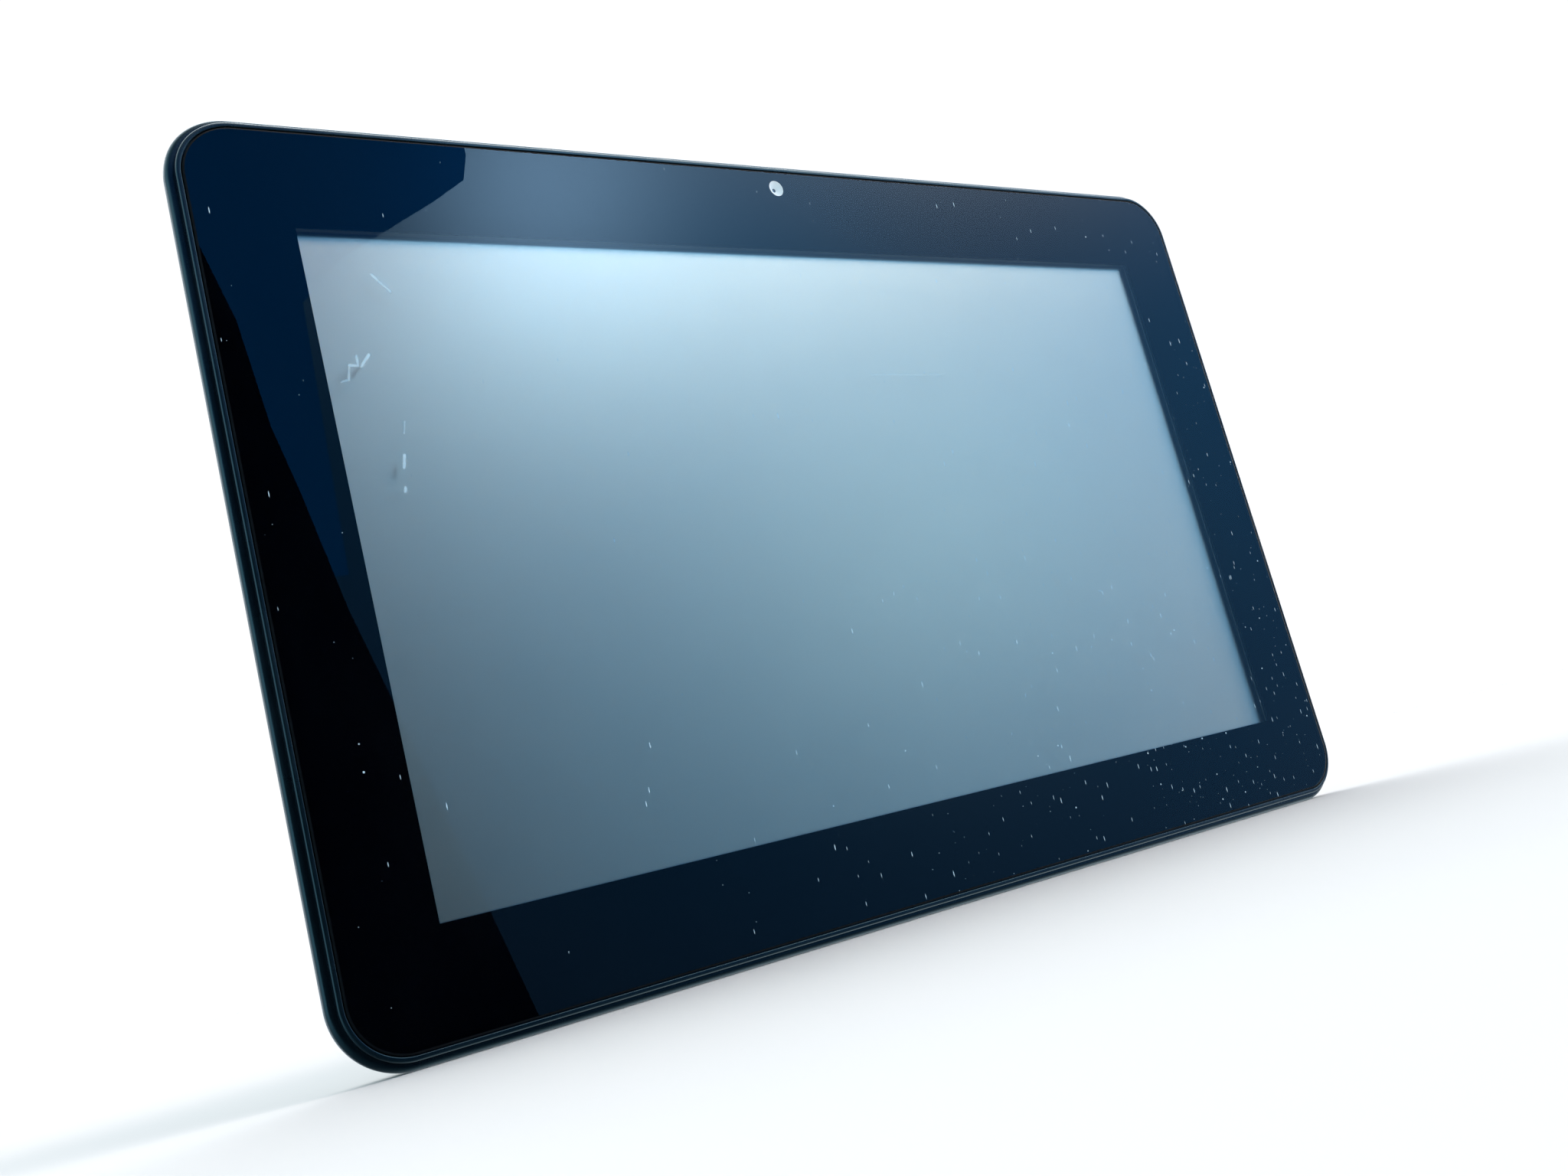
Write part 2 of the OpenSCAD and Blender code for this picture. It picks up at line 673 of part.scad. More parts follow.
module battery_board() {
    color([0.08, 0.3, 0.2]) upright() {
        block(-24, 24, 27.9 + 0.4, 31, 2.2, 3);
        block(-18, -8, 28.7, 30.6, 3, 3.8);
        block(6, 13, 28.7, 30.6, 3, 3.6);
    }
}

module battery_leads() {
    pitch = 0.8;
    color([0.72, 0.08, 0.06]) upright() for (i = [0 : 2])
        ribbon([[24.4, 28.9 + pitch * i], [40 - 0.5 * i, 28.9 + pitch * i],
                [46 - 0.5 * i, board_low + 1.7 + pitch * i], [55.6, board_low + 1.7 + pitch * i]],
            0.6, 2.4, 3);
}

// ---------------------------------------------------------------- sound

module speaker(s) {
    z0 = rear_wall + 0.6;
    color([0.1, 0.1, 0.11]) upright() translate([s * speaker_x, -speaker_y, 0]) difference() {
        union() {
            plate(speaker_l, speaker_h, 2, z0, z0 + 3);
            for (e = [-1, 1]) translate([e * (speaker_l / 2 + 1), 0, z0 + 1.2])
                cylinder(r = 2.2, h = 1, $fn = small);
        }
        for (e = [-1, 1]) translate([e * (speaker_l / 2 + 1.4), 0, 0])
            cylinder(r = 0.9, h = body_t, $fn = small);
        // cone, seen through the slots
        translate([0, 0, z0 - 1]) linear_extrude(1.6) rounded(speaker_l - 8, speaker_h - 4, 4);
    }
}

module speaker_left() speaker(-1);
module speaker_right() speaker(1);

module speaker_gaskets() {
    color([0.2, 0.2, 0.21]) upright()
        for (s = [-1, 1]) translate([s * speaker_x, -speaker_y, 0]) difference() {
            plate(speaker_l - 1, speaker_h - 1, 2, rear_wall, rear_wall + 0.6);
            plate(speaker_l - 4, speaker_h - 4, 2, 0, body_t);
        }
}

module speaker_mesh(s) {
    color([0.13, 0.14, 0.15]) upright() translate([s * speaker_x, -speaker_y, 0])
        plate(speaker_l - 4.4, speaker_h - 4.4, 1.5, rear_wall, rear_wall + 0.15);
}

module speaker_mesh_left() speaker_mesh(-1);
module speaker_mesh_right() speaker_mesh(1);

module speaker_leads() {
    y0 = -speaker_y + speaker_h / 2 + 0.5;
    color([0.1, 0.1, 0.45]) upright() {
        ribbon([[speaker_x + 8, y0], [speaker_x + 8, board_low - 0.5]], 0.9, 3.2, 4.1);
        ribbon([[-speaker_x - 8, y0], [-speaker_x - 8, 40], [board_x - board_w / 2 - 0.5, 40]],
            0.9, 3.2, 4.1);
    }
}

// ---------------------------------------------------------------- camera, microphone, radio

module camera_module() {
    z1 = glass_back - cup_h;
    color([0.12, 0.12, 0.13]) upright() translate([camera_x, camera_y, 0]) difference() {
        union() {
            block(-3, 3, -3, 3, z1 - 3.2, z1 - 0.6);
            translate([0, 0, z1 - 0.6]) cylinder(r = 2.6, h = 0.6, $fn = small);
        }
        translate([0, 0, z1 - 1.4]) cylinder(r = 1.5, h = 3, $fn = small);
    }
}

module camera_lens() {
    z1 = glass_back - cup_h;
    color([0.2, 0.28, 0.36]) upright() translate([camera_x, camera_y, z1 - 1.4]) {
        cylinder(r = 1.5, h = 0.9, $fn = small);
        translate([0, 0, 0.9]) cylinder(r1 = 1.3, r2 = 0.7, h = 0.4, $fn = small);
    }
}

module camera_gasket() {
    color([0.78, 0.8, 0.82]) upright() translate([camera_x, camera_y, 0]) difference() {
        translate([0, 0, glass_back - cup_h]) cylinder(r = 2.9, h = cup_h - mask_t, $fn = small);
        translate([0, 0, glass_back - cup_h - mask_t])
            cylinder(r1 = 1.05, r2 = 1.8, h = cup_h + mask_t, $fn = small);
    }
}

module camera_flex() {
    z0 = glass_back - cup_h - 3.35;
    y0 = 71.4;
    y1 = y0 + 1.8;
    x1 = 44;
    color([0.75, 0.48, 0.14]) upright() {
        block(camera_x - 2.4, camera_x + 2.4, y1, camera_y + 2.5, z0, z0 + flex_t);
        block(camera_x - 2.4, x1, y0, y1, z0, z0 + flex_t);
        block(x1 - 4, x1, y0 - 2.4, y0, z0, z0 + flex_t);
    }
}

module microphone() {
    y0 = key_board_y + key_board_t;
    color([0.8, 0.78, 0.7]) upright() difference() {
        block(mic_x - 1.9, mic_x + 1.9, y0, y0 + 1.1, key_z - 1.5, key_z + 1.5);
        translate([mic_x, y0 + 0.4, key_z]) rotate([-90, 0, 0]) cylinder(r = 0.4, h = 2, $fn = small);
    }
}

module wifi_antenna() {
    z1 = ledge_z - ledge_t;
    y0 = glass_h / 2 - ledge_w + 0.15;
    color([0.62, 0.5, 0.2]) upright() {
        block(-112, -74, y0, y0 + 3.2, z1 - 0.15, z1);
        block(-110, -88, y0 + 1.8, y0 + 2.6, z1 - 0.2, z1 - 0.15);
    }
}

module antenna_cable() {
    y0 = glass_h / 2 - ledge_w + 0.2;
    color([0.15, 0.15, 0.16]) upright() {
        block(-76, -75.1, y0, y0 + 0.9, board_top + 0.2, ledge_z - ledge_t - 0.15);
        ribbon([[-75.55, y0 + 0.45], [-62, 60], [41, 60]], 0.9, board_top + 0.2, board_top + 1.1);
    }
}

cover_glass();
print_mask();
touch_sensor();
glass_tape();
front_frame();
rear_cover();
speaker_mesh_left();
speaker_mesh_right();
power_key();
volume_rocker();
rocker_pin();
key_bracket();
key_board();
key_domes();
lcd_bezel();
lcd_cell();
lcd_driver_board();
diffuser_films();
light_guide();
reflector_sheet();
lcd_tray();
led_strip();
display_flex();
touch_flex();
main_board();
cpu_shield();
radio_shield();
processor();
memory_chips();
heat_spreader();
usb_socket();
audio_socket();
card_socket();
battery_cell_left();
battery_cell_right();
battery_board();
battery_leads();
speaker_left();
speaker_right();
speaker_gaskets();
speaker_leads();
camera_module();
camera_lens();
camera_gasket();
camera_flex();
microphone();
wifi_antenna();
antenna_cable();
key_flex();
board_screws();
cover_screws();
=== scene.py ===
import json
import math
from functools import partial

import bmesh
import bpy
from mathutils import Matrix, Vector


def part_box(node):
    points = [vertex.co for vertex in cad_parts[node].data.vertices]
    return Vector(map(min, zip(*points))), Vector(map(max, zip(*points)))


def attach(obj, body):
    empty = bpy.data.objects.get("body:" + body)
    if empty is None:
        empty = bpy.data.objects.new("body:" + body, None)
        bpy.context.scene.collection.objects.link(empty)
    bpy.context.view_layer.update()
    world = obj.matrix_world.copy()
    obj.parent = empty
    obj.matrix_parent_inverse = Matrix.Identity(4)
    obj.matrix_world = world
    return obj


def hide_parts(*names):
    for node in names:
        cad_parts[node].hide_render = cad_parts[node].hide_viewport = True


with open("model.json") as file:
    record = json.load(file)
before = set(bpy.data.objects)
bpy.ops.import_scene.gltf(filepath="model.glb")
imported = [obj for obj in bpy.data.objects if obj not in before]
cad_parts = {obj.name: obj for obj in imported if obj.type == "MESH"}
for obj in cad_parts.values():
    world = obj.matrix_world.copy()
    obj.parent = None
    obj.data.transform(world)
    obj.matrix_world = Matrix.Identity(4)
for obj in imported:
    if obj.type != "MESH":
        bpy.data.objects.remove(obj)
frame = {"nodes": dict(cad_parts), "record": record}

MM = 0.001
CORNER_STEPS = 28
ROUND_STEPS = 48
SHARP_ANGLE = math.radians(32)

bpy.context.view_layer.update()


def box_mm(node):
    low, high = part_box(node)
    return low / MM, high / MM


# ---------------------------------------------------------------- sizes, in millimetres

cover_high = box_mm("rear_cover")[1]
glass_low, glass_high = box_mm("cover_glass")
tape_high = box_mm("glass_tape")[1]
window_low, window_high = box_mm("touch_sensor")
power_low, power_high = box_mm("power_key")
rocker_low, rocker_high = box_mm("volume_rocker")
usb_low, usb_high = box_mm("usb_socket")
audio_low, audio_high = box_mm("audio_socket")
card_low, card_high = box_mm("card_socket")
gasket_low, gasket_high = box_mm("camera_gasket")
lens_low, lens_high = box_mm("camera_lens")
pin_low, pin_high = box_mm("rocker_pin")
mic_low, mic_high = box_mm("microphone")

HALF_W = cover_high.x
HALF_H = cover_high.z
THICK = -glass_low.y
CORNER = 12.6
RIM = HALF_W - glass_high.x

# rear cover section
BLEND = 12.2
WIDEST = 7.9
PARTING = 8.9
SHOULDER = 0.95
SIDE_WALL = 1.7
REAR_WALL = 1.6

# front frame section
SEAM = 0.15
LIP_W = 1.05
LIP_TOP = THICK - 0.1
LIP_ROUND = 0.42
LIP_EASE = 0.15
GLASS_ROUND = 0.4
GLASS_BEVEL = 0.1
LEDGE_TOP = -tape_high.y
LEDGE_T = 1.0
LEDGE_IN = RIM + 5.5
FRAME_GAP = 0.15
PARTING_GAP = 0.02
# how near a vertex must be to count as on the glass's back, and how deep its polished front reaches
ON_BACK = 0.01
FRONT_DEPTH = 0.004

# keys
KEY_T = 2.4
KEY_HEIGHT = 6.1
KEY_TOP = power_high.z
POWER_X = (power_low.x + power_high.x) / 2
POWER_L = 12.0
POWER_GAP = 0.2
ROCKER_X = (rocker_low.x + rocker_high.x) / 2
ROCKER_L = 27.0
ROCKER_GAP = 0.3
KEY_SIDE_GAP = 0.2
KEY_FLARE = 0.18
POCKET_Z = HALF_H - 2.25
POCKET_DEEP = 6.0
POCKET_FLOOR = KEY_HEIGHT - 2.2
POCKET_LEFT = POWER_X - 11
POCKET_RIGHT = ROCKER_X + 19
PIN_X = (pin_low.x + pin_high.x) / 2
PIN_Z = (pin_low.z + pin_high.z) / 2
PIN_BORE_R = 0.56
FLANGE_PAST_L = 2.4
FLANGE_PAST_T = 1.0
KEY_CROWN = 0.32
CROWN_STEP = 0.06
CROWN_FLAT = 0.9
SADDLE_DEPTH = 0.16
SADDLE_REACH = 7.0
PLUNGER_R = 0.9
PLUNGER_OFF = 9.0
# how far plungers and lug run into their key
OVERLAP = 0.3
LUG = (2.6, 2.2)
MIC_X = (mic_low.x + mic_high.x) / 2
MIC_HOLE_R = 0.6

# sockets on the right edge: middle up the edge and height above the back
USB_Z = (usb_low.z + usb_high.z) / 2
USB_HEIGHT = -(usb_low.y + usb_high.y) / 2
AUDIO_Z = (audio_low.z + audio_high.z) / 2
AUDIO_HEIGHT = 5.2
CARD_Z = (card_low.z + card_high.z) / 2
CARD_HEIGHT = -(card_low.y + card_high.y) / 2 + 0.1
USB_OPENING = (9.3, 3.6)
USB_OUTER = (8.9, 3.2)
USB_INNER = (8.3, 2.6)
USB_PADS = 8
USB_PAD_PITCH = 0.7
USB_PAD = (0.34, 0.05)
USB_TONGUE = (6.6, 0.7)
USB_TONGUE_TIP = (6.3, 0.4)
AUDIO_OPENING_R = 2.55
AUDIO_NOSE_R = 2.4
AUDIO_BORE_R = 1.8
AUDIO_BLOCK = (6.0, 4.6)
AUDIO_NOSE_L = 1.2
CARD_OPENING = (12.0, 1.4)
SOCKET_FLARE = 0.25
# recess inside the right wall, where the headphone and card sockets stand
SOCKETS_LOW = AUDIO_Z - 4
SOCKETS_TOP = CARD_Z + 7
SOCKETS_W = 4.2
SOCKETS_X = HALF_W - 6.5
SOCKETS_FLOOR = 2.7

# speakers and cover screws
SPEAKER_X = 102.0
SPEAKER_Z = -63.0
SLOT_COUNT = 7
SLOT_PITCH = 3.2
SLOT_W = 1.5
SLOT_L = 7.0
SCREW_X = HALF_W - 14.6
SCREW_ROWS = (-48.0, 26.0)
SCREW_HEAD_R = 1.6
SCREW_SUNK = 0.3
SCREW_CLEAR = 0.2
SCREW_SEAT = 1.0
SCREW_HOLE_R = 0.9
SCREW_HOLE_END = 4.0
CROSS_L = 1.7
CROSS_W = 0.42

# camera behind the glass
CAMERA_X = (gasket_low.x + gasket_high.x) / 2
CAMERA_Z = (gasket_low.z + gasket_high.z) / 2
CUP_R = 2.9
LENS_R = 1.5
LENS_DOME_R = 1.3
LENS_RISE = 0.5
CAMERA_NOTCH = (8.4, 11.0)


# ---------------------------------------------------------------- outlines and sections

def arc(centre, radius, start, end, steps):
    """Points (a, b) on an arc, angles in degrees."""
    points = []
    for i in range(steps + 1):
        angle = math.radians(start + (end - start) * i / steps)
        points.append((centre[0] + radius * math.cos(angle), centre[1] + radius * math.sin(angle)))
    return points


def rounded_rectangle(width, height, radius, steps=CORNER_STEPS):
    """Anticlockwise outline (a, b) of a rounded rectangle round (0, 0)."""
    points = []
    for turn, (sa, sb) in enumerate(((1, 1), (-1, 1), (-1, -1), (1, -1))):
        centre = (sa * (width / 2 - radius), sb * (height / 2 - radius))
        points += arc(centre, radius, 90 * turn, 90 * turn + 90, steps)
    return points


def circle(radius, steps=ROUND_STEPS):
    return arc((0, 0), radius, 0, 360, steps)[:-1]


def stadium(length, width, steps=10, runs=1):
    """Anticlockwise outline of a bar with round ends, its straight sides in runs pieces."""
    reach = (length - width) / 2
    sides = [reach - 2 * reach * i / runs for i in range(1, runs)]
    points = arc((reach, 0), width / 2, -90, 90, steps) + [(a, width / 2) for a in sides]
    return points + arc((-reach, 0), width / 2, 90, 270, steps) + [(-a, -width / 2) for a in sides]


def housing_ring(inset, height):
    """The housing's outline, drawn in by inset, as points at a height above the back."""
    outline = rounded_rectangle(2 * (HALF_W - inset), 2 * (HALF_H - inset), CORNER - inset)
    return [Vector((a, -height, b)) for a, b in outline]


# ways to stand a flat outline (a, b) in space, c along its normal
def facing_front(x, z):
    return lambda a, b, c: Vector((x + a, -c, z + b))


def facing_up(x, height):
    return lambda a, b, c: Vector((x + a, -height + b, c))


def facing_right(height, z):
    return lambda a, b, c: Vector((c, -height - b, z + a))


def rings_of(place, levels):
    """Rings from (outline, c) levels."""
    return [[place(a, b, c) for a, b in outline] for outline, c in levels]


# ---------------------------------------------------------------- meshes

def loft(rings, closed=False):
    """A closed bmesh through rings of equally many points; closed joins the last ring to the first."""
    mesh = bmesh.new()
    rows = [[mesh.verts.new(point) for point in ring] for ring in rings]
    count = len(rows[0])
    pairs = list(zip(rows, rows[1:]))
    if closed:
        pairs.append((rows[-1], rows[0]))
    else:
        mesh.faces.new(rows[0][::-1])
        mesh.faces.new(rows[-1])
    for low, high in pairs:
        for i in range(count):
            j = (i + 1) % count
            mesh.faces.new((low[i], low[j], high[j], high[i]))
    bmesh.ops.recalc_face_normals(mesh, faces=mesh.faces[:])
    return mesh


def spun(place, profile, closed=True, steps=ROUND_STEPS):
    """A bmesh of revolution: profile holds (radius, c) points; a radius of 0 closes to a point."""
    rings = rings_of(place, [(circle(max(radius, 1e-4), steps), c) for radius, c in profile])
    mesh = loft(rings, closed)
    bmesh.ops.remove_doubles(mesh, verts=mesh.verts[:], dist=1e-3)
    bmesh.ops.dissolve_degenerate(mesh, edges=mesh.edges[:], dist=1e-4)
    bmesh.ops.recalc_face_normals(mesh, faces=mesh.faces[:])
    return mesh


def joined(meshes):
    """One bmesh that holds several."""
    whole = bmesh.new()
    for mesh in meshes:
        part = bpy.data.meshes.new("part")
        mesh.to_mesh(part)
        mesh.free()
        whole.from_mesh(part)
        bpy.data.meshes.remove(part)
    return whole


def new_piece(name, mesh, materials):
    """An object from a bmesh in millimetres, scaled to metres, with the given materials."""
    bmesh.ops.scale(mesh, vec=(MM, MM, MM), verts=mesh.verts[:])
    data = bpy.data.meshes.new(name)
    mesh.to_mesh(data)
    mesh.free()
    piece = bpy.data.objects.new(name, data)
    bpy.context.scene.collection.objects.link(piece)
    for paint in materials:
        data.materials.append(paint)
    return piece


def boolean(piece, mesh, operation="DIFFERENCE"):
    """Cuts the piece with a bmesh, or joins it on, and applies the result."""
    tool = new_piece("tool", mesh, [])
    step = piece.modifiers.new("boolean", "BOOLEAN")
    step.operation = operation
    step.solver = "EXACT"
    step.object = tool
    graph = bpy.context.evaluated_depsgraph_get()
    made = bpy.data.meshes.new_from_object(piece.evaluated_get(graph))
    piece.modifiers.clear()
    old = piece.data
    piece.data = made
    made.name = piece.name
    bpy.data.meshes.remove(old)
    bpy.data.meshes.remove(tool.data)


def smooth(piece, angle=SHARP_ANGLE):
    """Smooth shading that keeps flats flat and edges crisp."""
    data = piece.data
    data.polygons.foreach_set("use_smooth", [True] * len(data.polygons))
    data.set_sharp_from_angle(angle=angle)
    weights = piece.modifiers.new("weighted_normals", "WEIGHTED_NORMAL")
    weights.keep_sharp = True
    weights.weight = 100
    return piece


def finish_piece(piece, body, slot, *replaced):
    smooth(piece)
    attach(piece, body)
    if replaced:
        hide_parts(*replaced)
    return piece


# ---------------------------------------------------------------- materials

def add_node(tree, kind, inputs=None, out=0, **settings):
    """Adds a shader node, sets or links its inputs, and returns one of its outputs."""
    node = tree.nodes.new("ShaderNode" + kind)
    for key, value in settings.items():
        setattr(node, key, value)
    for key, value in (inputs or {}).items():
        if isinstance(value, bpy.types.NodeSocket):
            tree.links.new(value, node.inputs[key])
        else:
            node.inputs[key].default_value = value
    return node.outputs[out]


class Shader:
    """A node material that is built up by short calls; each returns an output socket."""

    def __init__(self, name):
        self.material = bpy.data.materials.new(name)
        self.material.use_nodes = True
        self.tree = self.material.node_tree
        self.tree.nodes.clear()
        self.add = partial(add_node, self.tree)
        self.place = self.add("TexCoord", out="Object")

    def math(self, operation, *values, clamp=False):
        return self.add("Math", dict(enumerate(values)), operation=operation, use_clamp=clamp)

    def noise(self, scale, detail=4.0, roughness=0.5, place=None):
        inputs = {"Vector": place or self.place, "Scale": scale, "Detail": detail, "Roughness": roughness}
        return self.add("TexNoise", inputs)

    def ramp(self, value, low, high, to_low=0.0, to_high=1.0):
        inputs = {0: value, 1: low, 2: high, 3: to_low, 4: to_high}
        return self.add("MapRange", inputs, interpolation_type="SMOOTHSTEP")

    def blend(self, share, first, second):
        return self.add("Mix", {0: share, 6: first, 7: second}, out=2, data_type="RGBA")

    def bump(self, height, strength, distance):
        return self.add("Bump", {"Height": height, "Strength": strength, "Distance": distance})

    def mapped(self, scale=(1, 1, 1), turn=(0, 0, 0)):
        return self.add("Mapping", {"Vector": self.place, "Scale": scale, "Rotation": turn})

    def done(self, surface):
        output = self.tree.nodes.new("ShaderNodeOutputMaterial")
        self.tree.links.new(surface, output.inputs["Surface"])
        return self.material


def rgba(r, g, b):
    return (r, g, b, 1.0)


HOUSING_BLACK = rgba(0.0015, 0.0055, 0.0095)
KEY_BLACK = rgba(0.001, 0.004, 0.007)
COOL_SHEEN = (0.45, 0.85, 1.0)
MIRROR_HEAD_ON = 0.045
DUST_SHARE = 0.9
GRID_PITCH = 5.0
BORDER_SIDE = 0.45
BORDER_TOP = 0.25
THREAD = 0.35
# strokes worn into the glass: start and end (x, z), width, strength
STROKES = (
    ((-99.2, 53.5), (-96.4, 50.3), 0.9, 0.7),
    ((-109.0, 32.7), (-107.6, 33.1), 0.7, 0.5),
    ((-107.6, 33.1), (-107.0, 35.8), 0.7, 0.6),
    ((-107.0, 35.8), (-105.4, 35.7), 0.8, 0.8),
    ((-105.4, 35.7), (-105.3, 37.6), 0.8, 0.8),
    ((-104.8, 35.6), (-103.0, 37.8), 0.9, 0.9),
    ((-99.0, 25.0), (-99.5, 22.7), 0.5, 0.5),
    ((-100.4, 18.5), (-100.9, 16.2), 0.9, 0.9),
    ((-101.5, 12.4), (-101.6, 11.8), 0.9, 0.9),
    ((12.2, 32.3), (34.1, 32.0), 0.3, 0.25),
)


def moulded_plastic(name, colour, roughness, grain=2600, worn=0.12, tint=(1, 1, 1)):
    """Moulded plastic: fine spark-eroded grain, slow patches of handling shine and a little dust."""
    s = Shader(name)
    patches = s.noise(70, 6, 0.65)
    fine = s.noise(grain, 2, 0.5)
    light = tuple(min(1.0, c * (1 + worn) + 0.0015) for c in colour[:3]) + (1.0,)
    inputs = {
        "Base Color": s.blend(s.ramp(patches, 0.4, 0.75), colour, light),
        "Roughness": s.ramp(patches, 0.3, 0.7, roughness - 0.03, roughness + 0.03),
        "Specular Tint": rgba(*tint),
        "Normal": s.bump(fine, 0.3, 0.00002),
    }
    return s.done(s.add("BsdfPrincipled", inputs))


def sheet_metal(name, colour, roughness, brushed=(1, 1, 1)):
    """Rolled or plated metal: directional brushing, faint stains."""
    s = Shader(name)
    lines = s.noise(900, 3, 0.6, s.mapped(scale=brushed))
    stains = s.noise(40, 4)
    dull = tuple(c * 0.82 for c in colour[:3]) + (1.0,)
    inputs = {
        "Base Color": s.blend(s.ramp(stains, 0.4, 0.75), colour, dull),
        "Metallic": 1.0,
        "Roughness": s.ramp(lines, 0.3, 0.7, roughness - 0.06, roughness + 0.1),
        "Normal": s.bump(lines, 0.15, 0.00002),
    }
    return s.done(s.add("BsdfPrincipled", inputs))


def film(name, colour, roughness, fleck=0.08):
    """Thin sheet: films, tapes and foils with slight waviness."""
    s = Shader(name)
    waves = s.noise(120, 3)
    other = tuple(max(0.0, c * (1 - fleck) - 0.002) for c in colour[:3]) + (1.0,)
    inputs = {
        "Base Color": s.blend(s.ramp(waves, 0.35, 0.65), colour, other),
        "Roughness": s.ramp(waves, 0.3, 0.7, roughness - 0.05, roughness + 0.08),
        "Normal": s.bump(waves, 0.2, 0.00005),
    }
    return s.done(s.add("BsdfPrincipled", inputs))


def circuit_board(name):
    """Solder mask over copper: traces show as slightly lighter straight lines, with tinned pads."""
    s = Shader(name)
    grid = s.mapped(scale=(1400, 1400, 1400))
    cells = s.add("TexVoronoi", {"Vector": grid, "Scale": 1.0}, out="Color", distance="CHEBYCHEV")
    lane = s.add("SeparateColor", {"Color": cells})
    traces = s.math("GREATER_THAN", lane, 0.62)
    board = s.blend(traces, rgba(0.008, 0.10, 0.07), rgba(0.02, 0.17, 0.11))
    inputs = {"Base Color": board, "Roughness": 0.35, "Normal": s.bump(traces, 0.3, 0.00003)}
    return s.done(s.add("BsdfPrincipled", inputs))


def smudges(s):
    """Slow variation left by fingers, 0 to 1."""
    bent = s.mapped(scale=(1.0, 1.0, 0.6), turn=(0, math.radians(24), 0))
    return s.ramp(s.noise(26, 5, 0.62, bent), 0.42, 0.78)


def specks(s, cell, size, share, stretch=(1, 1, 1), turn=0.0, density=1.0):
    """Mask of small marks in the XZ plane: one in some cells of a grid cell millimetres wide."""
    flat = s.mapped(turn=(math.radians(-90), 0, 0))
    place = s.add("Mapping", {"Vector": flat, "Rotation": (0, 0, math.radians(turn)), "Scale": stretch})
    inputs = {"Vector": place, "Scale": 1 / (cell * MM), "Randomness": 1.0}
    near = s.add("TexVoronoi", inputs, out="Distance", voronoi_dimensions="2D")
    chance = s.add("TexVoronoi", inputs, out="Color", voronoi_dimensions="2D")
    lots = s.add("SeparateColor", {"Color": chance}).node
    radius = s.math("MULTIPLY_ADD", lots.outputs["Green"], size * 0.8, size * 0.4)
    dot = s.math("DIVIDE", s.math("SUBTRACT", radius, near), size * 0.5, clamp=True)
    limit = s.math("MULTIPLY", density, share)
    return s.math("MULTIPLY", dot, s.math("LESS_THAN", lots.outputs["Red"], limit))


def stroke(s, start, end, width):
    """Mask of one broken stroke on the glass from start (x, z) to end, in millimetres."""
    flat = s.add("VectorMath", {0: s.place, 1: (1, 0, 1)}, operation="MULTIPLY")
    first = Vector((start[0], 0, start[1])) * MM
    run = Vector((end[0], 0, end[1])) * MM - first
    off = s.add("VectorMath", {0: flat, 1: tuple(first)}, operation="SUBTRACT")
    along = s.add("VectorMath", {0: off, 1: tuple(run)}, out="Value", operation="DOT_PRODUCT")
    share = s.math("DIVIDE", along, run.length_squared, clamp=True)
    nearest = s.add("VectorMath", {0: tuple(run), "Scale": share}, operation="SCALE")
    gap = s.add("VectorMath", {0: off, 1: nearest}, out="Value", operation="DISTANCE")
    ragged = s.math("MULTIPLY_ADD", s.noise(1800, 3, 0.6), 0.7 * width * MM, gap)
    return s.ramp(ragged, 0.45 * width * MM, 0.85 * width * MM, 1.0, 0.0)


def cover_glass(name):
    """Clear glass that mirrors its surroundings, with smudges, dust, fibres and fine scratches."""
    s = Shader(name)
    facing = s.add("LayerWeight", {"Blend": 0.5}, out="Facing")
    grazing = s.math("POWER", facing, 5.0)
    mirror = s.math("MULTIPLY_ADD", grazing, 1 - MIRROR_HEAD_ON, MIRROR_HEAD_ON)
    touched = smudges(s)
    clear = s.add("BsdfTransparent", {"Color": rgba(0.985, 0.985, 0.985)})
    rough = s.ramp(touched, 0.0, 1.0, 0.006, 0.03)
    gloss = s.add("BsdfGlossy", {"Color": rgba(1, 1, 1), "Roughness": rough})
    pane = s.add("MixShader", {0: mirror, 1: clear, 2: gloss})
    haze = s.add("BsdfDiffuse", {"Color": rgba(0.55, 0.72, 0.85)})
    pane = s.add("MixShader", {0: s.math("MULTIPLY", touched, 0.002), 1: pane, 2: haze})
    axes = s.add("SeparateXYZ", {0: s.place}).node
    # Fewer specks towards the upper and lower left, more towards the lower right: partly uneven dust, partly
    # painted shade, the thinner dust standing in for the shade that dims the specks on the left.
    lower_right = s.math("SUBTRACT", axes.outputs["X"], axes.outputs["Z"])
    density = s.ramp(lower_right, -30 * MM, 190 * MM, 0.12, 1.9)
    marks = specks(s, 2.6, 0.032, 0.16, density=density)
    marks = s.math("MAXIMUM", marks, specks(s, 7.0, 0.03, 0.22, density=density))
    marks = s.math("MAXIMUM", marks, specks(s, 2.5, 0.04, 0.38, (1, 0.14, 1), 38, density))
    marks = s.math("MAXIMUM", marks, specks(s, 2.7, 0.04, 0.34, (1, 0.17, 1), -25, density))
    marks = s.math("MULTIPLY", marks, DUST_SHARE)
    for start, end, width, strength in STROKES:
        mark = s.math("MULTIPLY", stroke(s, start, end, width), 0.6 * strength)
        marks = s.math("MAXIMUM", marks, mark)
    dust = s.add("BsdfDiffuse", {"Color": rgba(0.58, 0.76, 0.86)})
    return s.done(s.add("MixShader", {0: marks, 1: pane, 2: dust}))


def bonded_face(name):
    """The back of the glass, which is bonded to the print and mirrors nothing of its own."""
    s = Shader(name)
    tint = s.blend(s.ramp(s.noise(60, 2), 0.3, 0.7), rgba(0.99, 0.99, 0.99), rgba(0.98, 0.98, 0.98))
    return s.done(s.add("BsdfTransparent", {"Color": tint}))


